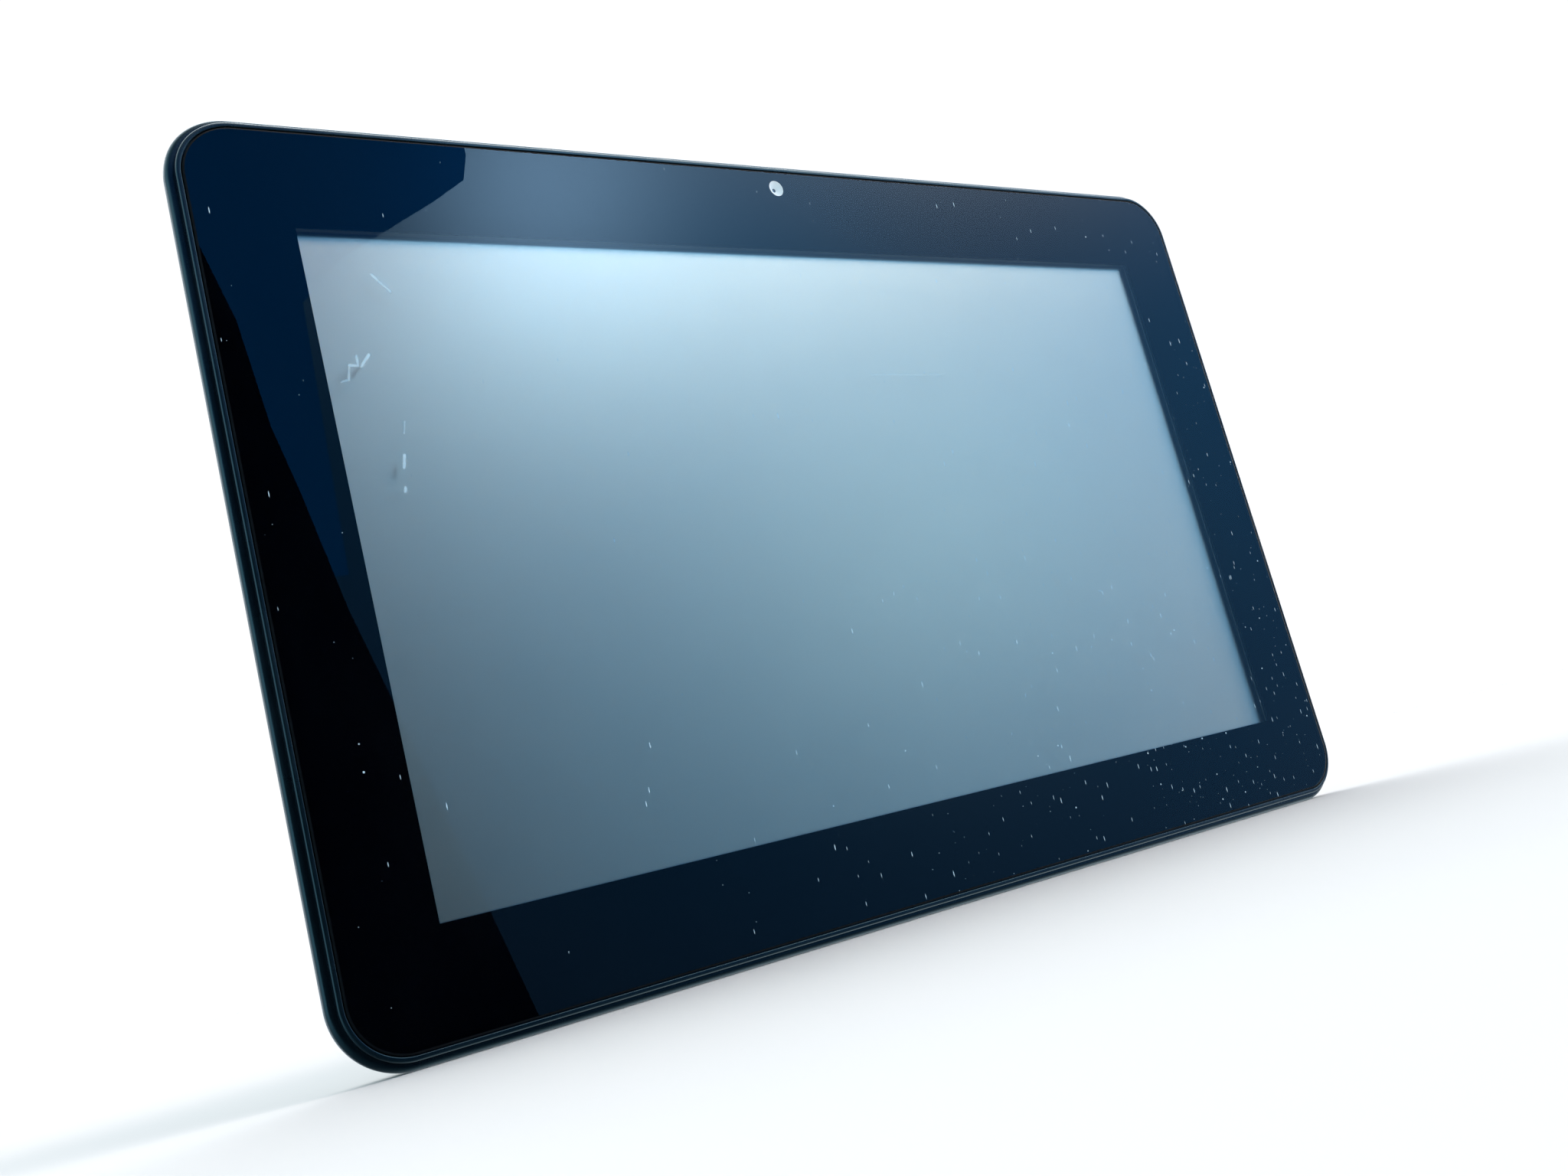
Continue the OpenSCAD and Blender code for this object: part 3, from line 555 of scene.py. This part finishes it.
def ground_edge(name):
    """Ground edge of the glass, near-black: partly its own finish, partly painted shade that darkens the
    seam between the glass and the frame.
    """
    s = Shader(name)
    worn = s.ramp(s.noise(900, 3), 0.35, 0.7)
    tone = s.blend(worn, rgba(0.001, 0.002, 0.003), rgba(0.002, 0.004, 0.006))
    return s.done(s.add("BsdfPrincipled", {"Base Color": tone, "Roughness": 0.5, "Specular IOR Level": 0.1}))


def matt_black(name):
    """Ink and foam behind the glass: matt, with slightly uneven density."""
    s = Shader(name)
    uneven = s.ramp(s.noise(35, 4), 0.35, 0.7)
    tone = s.blend(uneven, rgba(0.0003, 0.0006, 0.0016), rgba(0.0004, 0.0008, 0.002))
    inputs = {"Base Color": tone, "Roughness": 0.9, "Specular IOR Level": 0.0}
    return s.done(s.add("BsdfPrincipled", inputs))


def touch_film(name):
    """Clear sensor film with a faint grid of electrodes."""
    s = Shader(name)
    axes = s.add("SeparateXYZ", {0: s.place}).node
    grid = 0.0
    for axis in ("X", "Z"):
        phase = s.math("FRACT", s.math("DIVIDE", axes.outputs[axis], GRID_PITCH * MM))
        off_line = s.math("ABSOLUTE", s.math("SUBTRACT", phase, 0.5))
        line = s.ramp(off_line, 0.004, 0.012, 1.0, 0.0)
        grid = s.math("MAXIMUM", grid, line)
    clear = s.add("BsdfTransparent", {"Color": rgba(0.985, 0.985, 0.985)})
    haze = s.add("BsdfGlossy", {"Color": rgba(0.8, 0.9, 1.0), "Roughness": 0.3})
    share = s.math("MULTIPLY_ADD", grid, 0.004, 0.004)
    return s.done(s.add("MixShader", {0: share, 1: clear, 2: haze}))


def lcd_glass(name):
    """Anti-glare panel: hazy blue-grey sheen on the picture area and a darker border round it."""
    s = Shader(name)
    axes = s.add("SeparateXYZ", {0: s.place}).node
    middle = (window_low.x + window_high.x) / 2
    reach_x = (window_high.x - window_low.x) / 2 - BORDER_SIDE
    reach_z = (window_high.z - window_low.z) / 2 - BORDER_TOP
    off_x = s.math("ABSOLUTE", s.math("SUBTRACT", axes.outputs["X"], middle * MM))
    off_z = s.math("ABSOLUTE", axes.outputs["Z"])
    past_x = s.ramp(off_x, reach_x * MM, (reach_x + 0.15) * MM)
    past_z = s.ramp(off_z, reach_z * MM, (reach_z + 0.15) * MM)
    border = s.math("MAXIMUM", past_x, past_z)
    grain = s.noise(4200, 2, 0.6)
    cloud = s.noise(9, 3)
    sheen = s.blend(s.ramp(cloud, 0.35, 0.7), rgba(0.65, 0.595, 0.465), rgba(0.63, 0.575, 0.45))
    tone = s.blend(border, sheen, rgba(0.45, 0.45, 0.40))
    inputs = {
        "Base Color": tone,
        "Metallic": 1.0,
        "Roughness": s.ramp(grain, 0.3, 0.7, 0.28, 0.34),
    }
    return s.done(s.add("BsdfPrincipled", inputs))


def clear_acrylic(name):
    s = Shader(name)
    dots = specks(s, 1.6, 0.3, 0.9)
    inputs = {
        "Base Color": s.blend(dots, rgba(0.78, 0.86, 0.9), rgba(0.95, 0.97, 0.98)),
        "Roughness": 0.12, "Transmission Weight": 0.6, "IOR": 1.49,
    }
    return s.done(s.add("BsdfPrincipled", inputs))


def lens_glass(name):
    """Coated lens: dark glass with a violet to green reflection."""
    s = Shader(name)
    coat = s.blend(s.ramp(s.noise(700, 2), 0.35, 0.65), rgba(0.010, 0.014, 0.035), rgba(0.02, 0.03, 0.03))
    inputs = {
        "Base Color": coat, "Roughness": 0.04, "IOR": 1.6,
        "Coat Weight": 1.0, "Coat Roughness": 0.02,
    }
    return s.done(s.add("BsdfPrincipled", inputs))


def woven_mesh(name):
    """Fine acoustic cloth behind the speaker slots."""
    s = Shader(name)
    axes = s.add("SeparateXYZ", {0: s.place}).node
    turns = math.pi / (THREAD * MM)
    waves = [
        s.math("ABSOLUTE", s.math("SINE", s.math("MULTIPLY", axes.outputs[axis], turns)))
        for axis in ("X", "Z")
    ]
    weave = s.math("MULTIPLY", waves[0], waves[1])
    tone = s.blend(weave, rgba(0.004, 0.005, 0.006), rgba(0.035, 0.04, 0.045))
    inputs = {"Base Color": tone, "Roughness": 0.7, "Normal": s.bump(weave, 0.6, 0.0001)}
    return s.done(s.add("BsdfPrincipled", inputs))


MAKERS = {
    "cover_glass": cover_glass,
    "black_print": matt_black,
    "touch_film": touch_film,
    "foam_tape": matt_black,
    "housing_plastic": lambda n: moulded_plastic(n, HOUSING_BLACK, 0.27, tint=COOL_SHEEN),
    "speaker_mesh": woven_mesh,
    "key_plastic": lambda n: moulded_plastic(n, KEY_BLACK, 0.30, tint=COOL_SHEEN),
    "plated_steel": lambda n: sheet_metal(n, rgba(0.66, 0.67, 0.69), 0.28, brushed=(0.1, 1, 1)),
    "inner_plastic": lambda n: moulded_plastic(n, rgba(0.03, 0.032, 0.036), 0.55),
    "circuit_board": circuit_board,
    "panel_steel": lambda n: sheet_metal(n, rgba(0.50, 0.53, 0.56), 0.38, brushed=(0.05, 1, 1)),
    "lcd_glass": lcd_glass,
    "white_film": lambda n: film(n, rgba(0.82, 0.84, 0.86), 0.45),
    "clear_acrylic": clear_acrylic,
    "led_white": lambda n: film(n, rgba(0.88, 0.84, 0.6), 0.35),
    "flex_film": lambda n: film(n, rgba(0.55, 0.26, 0.05), 0.35, fleck=0.2),
    "chip_plastic": lambda n: moulded_plastic(n, rgba(0.02, 0.02, 0.022), 0.6),
    "graphite": lambda n: film(n, rgba(0.05, 0.05, 0.052), 0.5),
    "battery_foil": lambda n: sheet_metal(n, rgba(0.62, 0.64, 0.67), 0.3, brushed=(1, 1, 0.1)),
    "lead_jacket": lambda n: moulded_plastic(n, rgba(0.25, 0.012, 0.01), 0.45),
    "lens_glass": lens_glass,
    "grey_gasket": lambda n: moulded_plastic(n, rgba(0.90, 0.94, 0.90), 0.5, worn=0.03),
    "dark_steel": lambda n: sheet_metal(n, rgba(0.11, 0.115, 0.125), 0.34, brushed=(1, 1, 1)),
}
made_materials = {}


def material(slot):
    if slot not in made_materials:
        made_materials[slot] = MAKERS[slot](slot)
    return made_materials[slot]


def dress_cad_nodes():
    """Gives every CAD node the material of its slot in the record."""
    for subpart in frame["record"]["subparts"]:
        data = frame["nodes"][subpart["node"]].data
        data.materials.clear()
        data.materials.append(material(subpart["material_slot"]))


# ---------------------------------------------------------------- front

def make_glass():
    """Cover glass with ground, rounded edges whose near-black is partly painted shade of the seam; its back
    face has its own clear material.
    """
    section = [(RIM + GLASS_BEVEL, -glass_high.y), (RIM, -glass_high.y + GLASS_BEVEL)]
    middle = (RIM + GLASS_ROUND, THICK - GLASS_ROUND)
    section += arc(middle, GLASS_ROUND, 180, 90, 8)
    mesh = loft([housing_ring(inset, height) for inset, height in section])
    for face in mesh.faces:
        if all(vert.co.y > glass_high.y - ON_BACK for vert in face.verts):
            face.material_index = 1
        # the rounded edge gets the near-black edge material, partly painted shade of the seam
        elif any(vert.co.y > glass_low.y + FRONT_DEPTH for vert in face.verts):
            face.material_index = 2
    paints = [material("cover_glass"), bonded_face("bonded_face"), ground_edge("ground_edge")]
    piece = new_piece("glass_sheet", mesh, paints)
    return finish_piece(piece, "display", "cover_glass", "cover_glass")


def make_front_rim():
    """Front frame: a rounded lip round the glass, over the ledge that carries it."""
    inner = RIM - SEAM
    outer = RIM - LIP_W
    wall = SIDE_WALL + FRAME_GAP
    parting = PARTING + PARTING_GAP
    ledge_low = LEDGE_TOP - LEDGE_T
    section = [(inner, LEDGE_TOP)]
    section += arc((inner - LIP_EASE, LIP_TOP - LIP_EASE), LIP_EASE, 0, 90, 4)
    section += arc((outer + LIP_ROUND, LIP_TOP - LIP_ROUND), LIP_ROUND, 90, 180, 8)
    section += [(outer, parting), (wall, parting)]
    section += [(wall, ledge_low), (LEDGE_IN, ledge_low), (LEDGE_IN, LEDGE_TOP)]
    mesh = loft([housing_ring(inset, height) for inset, height in section], closed=True)
    piece = new_piece("front_rim", mesh, [material("housing_plastic")])
    notch = rounded_rectangle(*CAMERA_NOTCH, 0.5, 4)
    place = facing_front(CAMERA_X, HALF_H - LEDGE_IN + 1.0)
    boolean(piece, loft(rings_of(place, [(notch, ledge_low - 1), (notch, LEDGE_TOP + 0.15)])))
    return finish_piece(piece, "display", "housing_plastic", "front_frame")


# ---------------------------------------------------------------- rear shell

def cover_section():
    """Section of the rear cover from the middle of its inside, over its rim, to its flat back."""
    wall_in, wall_up = BLEND - SIDE_WALL, WIDEST - REAR_WALL
    inside = [
        (SIDE_WALL + wall_in * (1 - a), REAR_WALL + wall_up * (1 - b))
        for a, b in arc((0, 0), 1, 90, 0, 16)
    ]
    rim = [
        (SHOULDER * (1 - a), WIDEST + (PARTING - WIDEST) * b)
        for a, b in arc((0, 0), 1, 90, 0, 10)
    ]
    outside = [
        (BLEND * (1 - a), WIDEST * (1 - b))
        for a, b in arc((0, 0), 1, 0, 90, 28)[1:]
    ]
    return inside + [(SIDE_WALL, PARTING)] + rim + outside


def flared(outline, flare, surface, depth, outward):
    """Levels of a cutter: wider by flare just outside a surface, true to size inside it."""
    return [
        (outline(2 * flare), surface + outward * flare * 0.5),
        (outline(0), surface - outward * flare * 0.75),
        (outline(0), surface - outward * depth),
    ]


def upright_slot(grow):
    """Outline of one speaker slot, standing up."""
    return [(b, a) for a, b in stadium(SLOT_L + grow, SLOT_W + grow)][::-1]


def slot_cutters():
    """Speaker slots through the back."""
    for side in (-1, 1):
        for i in range(SLOT_COUNT):
            x = side * SPEAKER_X + SLOT_PITCH * (i - (SLOT_COUNT - 1) / 2)
            levels = flared(upright_slot, flare=0.2, surface=0, depth=3, outward=-1)
            yield loft(rings_of(facing_front(x, SPEAKER_Z), levels))


def screw_seat(grow):
    """Outline of a screw's counterbore."""
    return circle(SCREW_HEAD_R + SCREW_CLEAR + grow / 2)


def screw_cutters():
    """Counterbored holes for the cover screws."""
    hole = circle(SCREW_HOLE_R)
    for x in (-SCREW_X, SCREW_X):
        for z in SCREW_ROWS:
            levels = flared(screw_seat, flare=0.2, surface=0, depth=SCREW_SEAT, outward=-1)
            levels += [(hole, SCREW_SEAT), (hole, SCREW_HOLE_END)]
            yield loft(rings_of(facing_front(x, z), levels))


def edge_cutter(place, outline, flare, surface, depth, end):
    """A cutter that starts outside the edge, at end, and goes through the surface to its depth."""
    levels = [(outline(2 * flare), end)] + flared(outline, flare, surface, depth, outward=1)
    return loft(rings_of(place, levels))


def key_slot(length, gap):
    """Outline of the slot round a key."""
    return lambda g: stadium(length + 2 * gap + g, KEY_T + 2 * KEY_SIDE_GAP + g)


def edge_cutters():
    """Key slots, microphone hole and socket openings round the edge."""
    # the rounded shell's surface at the height of the openings
    top = HALF_H - 0.3
    right = HALF_W - 0.6
    for x, length, gap in ((POWER_X, POWER_L, POWER_GAP), (ROCKER_X, ROCKER_L, ROCKER_GAP)):
        place = facing_up(x, KEY_HEIGHT)
        yield edge_cutter(place, key_slot(length, gap), KEY_FLARE, top, depth=4, end=HALF_H + 1)
    hole, mouth = circle(MIC_HOLE_R), circle(MIC_HOLE_R + 0.15)
    levels = [(mouth, HALF_H + 1), (mouth, top + 0.05), (hole, top - 0.1), (hole, top - 5)]
    yield loft(rings_of(facing_up(MIC_X, KEY_HEIGHT), levels))
    usb_l, usb_w = USB_OPENING
    card_l, card_w = CARD_OPENING
    openings = (
        (facing_right(USB_HEIGHT, USB_Z), lambda g: stadium(usb_l + g, usb_w + g)),
        (facing_right(AUDIO_HEIGHT, AUDIO_Z), lambda g: circle(AUDIO_OPENING_R + g / 2)),
        (
            facing_right(CARD_HEIGHT, CARD_Z),
            lambda g: rounded_rectangle(card_l + g, card_w + g, 0.3 + g / 2, 4),
        ),
    )
    for place, outline in openings:
        yield edge_cutter(place, outline, SOCKET_FLARE, right, depth=6, end=HALF_W + 1)


def make_rear_shell():
    mesh = loft([housing_ring(inset, height) for inset, height in cover_section()])
    piece = new_piece("rear_shell", mesh, [material("housing_plastic")])
    keys = rounded_rectangle(POCKET_RIGHT - POCKET_LEFT, POCKET_DEEP, 0.4, 3)
    keys_place = facing_front((POCKET_RIGHT + POCKET_LEFT) / 2, POCKET_Z - POCKET_DEEP / 2)
    sockets = rounded_rectangle(SOCKETS_W, SOCKETS_TOP - SOCKETS_LOW, 0.4, 3)
    sockets_place = facing_front(SOCKETS_X, (SOCKETS_TOP + SOCKETS_LOW) / 2)
    boolean(piece, joined([
        loft(rings_of(keys_place, [(keys, POCKET_FLOOR), (keys, THICK)])),
        loft(rings_of(sockets_place, [(sockets, SOCKETS_FLOOR), (sockets, THICK)])),
    ]))
    boolean(piece, joined([*slot_cutters(), *screw_cutters(), *edge_cutters()]))
    return finish_piece(piece, "display", "housing_plastic", "rear_cover")


def make_screws():
    """Pan-head screws with a tapered cross recess, sunk in the back."""
    dome = [(r, SCREW_SUNK + c) for r, c in ((0, 0), (0.7, 0.02), (1.15, 0.1), (1.45, 0.26))]
    head = [(SCREW_HEAD_R, 0.75), (SCREW_HEAD_R, 0.97)]
    shank = [(0.8, 0.97), (0.8, 7.0), (0.5, 7.3), (0, 7.3)]
    heads, crosses = [], []
    for x in (-SCREW_X, SCREW_X):
        for z in SCREW_ROWS:
            place = facing_front(x, z)
            heads.append(spun(place, dome + head + shank, closed=False, steps=32))
            for wide, tall in ((CROSS_L, CROSS_W), (CROSS_W, CROSS_L)):
                mouth = rounded_rectangle(wide, tall, 0.08, 3)
                floor = rounded_rectangle(wide * 0.6, tall * 0.6, 0.04, 3)
                crosses.append((place, mouth, floor))
    piece = new_piece("screw_heads", joined(heads), [material("dark_steel")])
    low, high, deep = SCREW_SUNK - 0.2, SCREW_SUNK + 0.12, SCREW_SUNK + 0.5
    for half in (0, 1):
        boolean(piece, joined([
            loft(rings_of(place, [(mouth, low), (mouth, high), (floor, deep)]))
            for place, mouth, floor in crosses[half::2]
        ]))
    return finish_piece(piece, "display", "dark_steel", "cover_screws")


# ---------------------------------------------------------------- keys

def key_levels(length, flange_z, flange_t, runs):
    """Levels of a key from its flange to its crowned top."""
    wide = stadium(length + FLANGE_PAST_L, KEY_T + FLANGE_PAST_T, runs=runs)
    crown_low = KEY_TOP - CROWN_STEP - KEY_CROWN
    levels = [(wide, flange_z), (wide, flange_z + flange_t)]
    levels += [(stadium(length, KEY_T, runs=runs), flange_z + flange_t)]
    for a, b in arc((0, 0), KEY_CROWN, 0, 90, 6):
        grow = 2 * (a - KEY_CROWN)
        levels.append((stadium(length + grow, KEY_T + grow, runs=runs), crown_low + b))
    grow = -2 * KEY_CROWN - CROWN_FLAT
    levels.append((stadium(length + grow, KEY_T + grow, runs=runs), KEY_TOP))
    return levels


def make_power_key():
    place = facing_up(POWER_X, KEY_HEIGHT)
    plunger = circle(PLUNGER_R)
    flange = POCKET_Z - 0.95
    mesh = loft(rings_of(place, key_levels(POWER_L, flange, 0.75, 4)))
    piece = new_piece("power_key_cap", mesh, [material("key_plastic")])
    boolean(piece, loft(rings_of(place, [(plunger, power_low.z), (plunger, flange + OVERLAP)])), "UNION")
    return finish_piece(piece, "power_button", "key_plastic", "power_key")


def make_volume_rocker():
    """The rocker: crowned, with a shallow saddle between its two ends, on a pierced lug."""
    place = facing_up(ROCKER_X, KEY_HEIGHT)
    flange = POCKET_Z - 1.4
    mesh = loft(rings_of(place, key_levels(ROCKER_L, flange, 0.8, 24)))
    for vert in mesh.verts:
        off = abs(vert.co.x - ROCKER_X) / SADDLE_REACH
        raised = max(0.0, (vert.co.z - HALF_H) / (KEY_TOP - HALF_H))
        vert.co.z -= SADDLE_DEPTH * raised * max(0.0, 1 - off * off) ** 2
    piece = new_piece("volume_rocker_cap", mesh, [material("key_plastic")])
    lug = rounded_rectangle(*LUG, 0.2, 3)
    feet = [loft(rings_of(place, [(lug, rocker_low.z), (lug, flange + OVERLAP)]))]
    plunger = circle(PLUNGER_R)
    for side in (-1, 1):
        foot = facing_up(ROCKER_X + side * PLUNGER_OFF, KEY_HEIGHT)
        feet.append(loft(rings_of(foot, [(plunger, rocker_low.z), (plunger, flange + OVERLAP)])))
    boolean(piece, joined(feet), "UNION")
    bore = circle(PIN_BORE_R)
    levels = [(bore, KEY_HEIGHT - 3), (bore, KEY_HEIGHT + 3)]
    boolean(piece, loft(rings_of(facing_front(PIN_X, PIN_Z), levels)))
    return finish_piece(piece, "volume_button", "key_plastic", "volume_rocker")


# ---------------------------------------------------------------- sockets

def make_usb():
    """Rolled steel shell, plastic tongue and gilt contacts."""
    place = facing_right(USB_HEIGHT, USB_Z)
    deep, face = usb_low.x, usb_high.x
    inner, flared_in = (stadium(USB_INNER[0] + g, USB_INNER[1] + g) for g in (0, 0.3))
    outer, eased = (stadium(USB_OUTER[0] - g, USB_OUTER[1] - g) for g in (0, 0.12))
    levels = [(inner, deep + 2), (inner, face - 0.15), (flared_in, face)]
    levels += [(eased, face), (outer, face - 0.1), (outer, deep)]
    shell = new_piece("usb_shell", loft(rings_of(place, levels)), [material("plated_steel")])
    finish_piece(shell, "display", "plated_steel", "usb_socket")
    tongue = rounded_rectangle(*USB_TONGUE, 0.12, 3)
    tip = rounded_rectangle(*USB_TONGUE_TIP, 0.1, 3)
    levels = [(tongue, deep + 2.05), (tongue, face - 1.25), (tip, face - 1.0)]
    piece = new_piece("usb_tongue", loft(rings_of(place, levels)), [material("inner_plastic")])
    finish_piece(piece, "display", "inner_plastic")
    outline = rounded_rectangle(*USB_PAD, 0.02, 2)
    levels = [(outline, deep + 2.2), (outline, face - 1.45)]
    pads = []
    for side in (-1, 1):
        for i in range(USB_PADS):
            off = USB_PAD_PITCH * (i - (USB_PADS - 1) / 2)
            pad = facing_right(USB_HEIGHT + side * 0.36, USB_Z + off)
            pads.append(loft(rings_of(pad, levels)))
    piece = new_piece("usb_contacts", joined(pads), [sheet_metal("gilt", rgba(0.83, 0.58, 0.22), 0.25)])
    finish_piece(piece, "display", "plated_steel")


def make_headphone_socket():
    """Moulded socket with a round nose and a bore that ends blind."""
    place = facing_right(AUDIO_HEIGHT, AUDIO_Z)
    deep, nose_end = audio_low.x, audio_high.x
    block_end = nose_end - AUDIO_NOSE_L
    block = rounded_rectangle(*AUDIO_BLOCK, 0.4, 4)
    mesh = loft(rings_of(place, [(block, deep), (block, block_end)]))
    piece = new_piece("headphone_socket", mesh, [material("inner_plastic")])
    nose, tip = circle(AUDIO_NOSE_R), circle(AUDIO_NOSE_R - 0.15)
    levels = [(nose, block_end - 0.5), (nose, nose_end - 0.15), (tip, nose_end)]
    boolean(piece, loft(rings_of(place, levels)), "UNION")
    bore, mouth = circle(AUDIO_BORE_R), circle(AUDIO_BORE_R + 0.3)
    levels = [(bore, deep + 1), (bore, nose_end - 0.25), (mouth, nose_end + 0.05)]
    boolean(piece, loft(rings_of(place, levels)))
    return finish_piece(piece, "display", "inner_plastic", "audio_socket")


# ---------------------------------------------------------------- camera

def make_camera():
    """Pale light-baffle cup behind the clear hole, and the small lens at its bottom."""
    place = facing_front(CAMERA_X, CAMERA_Z)
    top, bottom = -gasket_low.y, -gasket_high.y
    cup = [(CUP_R, bottom), (CUP_R, top), (1.95, top), (1.8, top - 0.1)]
    cup += [(0.85, bottom + 0.25), (0.47, bottom + 0.12), (0.45, bottom)]
    piece = new_piece("camera_cup", spun(place, cup), [material("grey_gasket")])
    finish_piece(piece, "display", "grey_gasket", "camera_gasket")
    lens_top, lens_bottom = -lens_low.y, -lens_high.y
    shoulder = lens_top - LENS_RISE
    quarter = arc((0, 0), 1, 90, 0, 9)
    profile = [(LENS_DOME_R * a, shoulder + LENS_RISE * b) for a, b in quarter]
    profile += [(LENS_R, shoulder), (LENS_R, lens_bottom), (0, lens_bottom)]
    piece = new_piece("camera_lens_dome", spun(place, profile, closed=False), [material("lens_glass")])
    finish_piece(piece, "display", "lens_glass", "camera_lens")


# ---------------------------------------------------------------- stage, light and camera

# sizes and places on the stage, in millimetres
TABLE = 8000
CARDS_Y = -600
CARD_GAP = 5
CARD_FAR = -1400
# right edges (x, z) of the cards that the glass mirrors: a black one below, a dark gel above it
BLACK_CARD = (
    (60, 372), (74, 321), (82, 253), (91, 214), (106, 137),
    (121, 80), (140, 0), (158, -73), (166, -106), (196, -230),
)
GEL_CARD = ((253, 600), (251, 446), (245, 427), (219, 409), (183, 387), (150, 367), (118, 335), (112, 160))

# soft lights round the display: azimuth from straight ahead of the screen towards its right,
# elevation, sharpness and colour
AMBIENT = (0.0, 0.006, 0.02)
GLOWS = (
    (43, 11, 154, (0.60, 0.80, 0.75)),
    (39, 54, 60, (9.8, 7.9, 7.3)),
    (53, 37.5, 68, (10.2, 9.5, 7.8)),
    (89, 6.7, 34, (16.4, 15.0, 13.4)),
    (31.5, 27, 260, (2.0, 3.5, 5.2)),
    (40, 24.5, 200, (0.1, 0.5, 1.0)),
    (60, 28, 6.7, (0.0, 0.52, 1.39)),
    (180, 20, 2.5, (0.85, 1.0, 1.1)),
    (135, 52, 12, (4.5, 4.8, 5.1)),
    (-80, 18, 4, (1.1, 1.8, 2.1)),
    (95, -50, 6, (1.4, 1.6, 1.7)),
)
SUN_STRENGTH = 1.3
SUN_SPREAD = 70
SUN_TURN = (-22, -12, 0)

VIEW_LENS = 34.436
VIEW_PLACE = (-206.0, -249.78, -67.87)
VIEW_TURN = (100.572, 14.299, -34.262)


def stage_surface(name, shader):
    """A material for the stage from one shader."""
    s = Shader(name)
    return s.done(shader(s))


def pale_board(s):
    """Matt off-white board."""
    tone = s.blend(s.ramp(s.noise(3, 3), 0.3, 0.7), rgba(0.535, 0.51, 0.485), rgba(0.55, 0.525, 0.50))
    return s.add("BsdfDiffuse", {"Color": tone})


def navy_gel(s):
    """Navy gel that glows faintly and lets a little light through."""
    through = s.add("BsdfTransparent", {"Color": rgba(0.008, 0.055, 0.125)})
    glow = s.add("Emission", {"Color": rgba(0.0, 0.18, 0.58), "Strength": 1.0})
    return s.add("AddShader", {0: through, 1: glow})


def sheet(name, paint, points):
    """A flat stage panel with its corners in millimetres."""
    mesh = bmesh.new()
    mesh.faces.new([mesh.verts.new(point) for point in points])
    panel = new_piece(name, mesh, [paint])
    return panel


def make_stage():
    """A table under the display, and two cards beside the camera that darken the glass's left."""
    low = -HALF_H
    corners = [(-TABLE, -TABLE, low), (TABLE, -TABLE, low), (TABLE, TABLE, low), (-TABLE, TABLE, low)]
    floor = sheet("floor", stage_surface("table_white", pale_board), corners)
    floor.visible_glossy = False
    black = stage_surface("card_black", lambda s: s.add("BsdfDiffuse", {"Color": rgba(0, 0, 0)}))
    gel = stage_surface("card_gel", navy_gel)
    for name, paint, edge, y in (
        ("black_card", black, BLACK_CARD, CARDS_Y),
        ("gel_card", gel, GEL_CARD, CARDS_Y - CARD_GAP),
    ):
        outline = [(CARD_FAR, edge[0][1]), *edge, (CARD_FAR, edge[-1][1])]
        card = sheet(name, paint, [(x, y, z) for x, z in outline])
        card.visible_camera = False
        card.visible_diffuse = False


def make_world():
    """A dim navy tent with soft bright places, plain white as a backdrop."""
    world = bpy.data.worlds.new("studio")
    bpy.context.scene.world = world
    world.use_nodes = True
    tree = world.node_tree
    tree.nodes.clear()
    add = partial(add_node, tree)
    direction = add("TexCoord", out="Generated")
    light = AMBIENT
    for azimuth, elevation, sharpness, colour in GLOWS:
        across, up = math.radians(azimuth), math.radians(elevation)
        axis = (math.cos(up) * math.sin(across), -math.cos(up) * math.cos(across), math.sin(up))
        aligned = add("VectorMath", {0: direction, 1: axis}, out="Value", operation="DOT_PRODUCT")
        off = add("Math", {0: aligned, 1: sharpness, 2: -sharpness}, operation="MULTIPLY_ADD")
        share = add("Math", {0: off}, operation="EXPONENT")
        glow = add("VectorMath", {0: colour, "Scale": share}, operation="SCALE")
        light = add("VectorMath", {0: light, 1: glow}, operation="ADD")
    tent = add("Background", {"Color": light, "Strength": 1.0})
    backdrop = add("Background", {"Color": rgba(1, 1, 1), "Strength": 1.05})
    seen = add("LightPath", out="Is Camera Ray")
    surface = add("MixShader", {0: seen, 1: tent, 2: backdrop})
    tree.links.new(surface, tree.nodes.new("ShaderNodeOutputWorld").inputs["Surface"])


def make_sun():
    """A wide, soft light from above and a little behind."""
    data = bpy.data.lights.new("overhead", "SUN")
    data.energy = SUN_STRENGTH
    data.angle = math.radians(SUN_SPREAD)
    data.color = (1.0, 1.0, 1.0)
    light = bpy.data.objects.new("overhead", data)
    light.rotation_euler = [math.radians(a) for a in SUN_TURN]
    bpy.context.scene.collection.objects.link(light)


def make_camera_view():
    """The viewpoint: low, to the display's left, looking a little up."""
    data = bpy.data.cameras.new("camera")
    data.sensor_width = 36
    data.lens = VIEW_LENS
    data.clip_start, data.clip_end = 0.01, 50
    camera = bpy.data.objects.new("camera", data)
    camera.location = Vector(VIEW_PLACE) * MM
    camera.rotation_euler = [math.radians(a) for a in VIEW_TURN]
    bpy.context.scene.collection.objects.link(camera)
    bpy.context.scene.camera = camera


make_camera_view()
dress_cad_nodes()
make_glass()
make_front_rim()
make_rear_shell()
make_screws()
make_power_key()
make_volume_rocker()
make_usb()
make_headphone_socket()
make_camera()
make_stage()
make_world()
make_sun()
bpy.context.scene.view_settings.view_transform = "Standard"
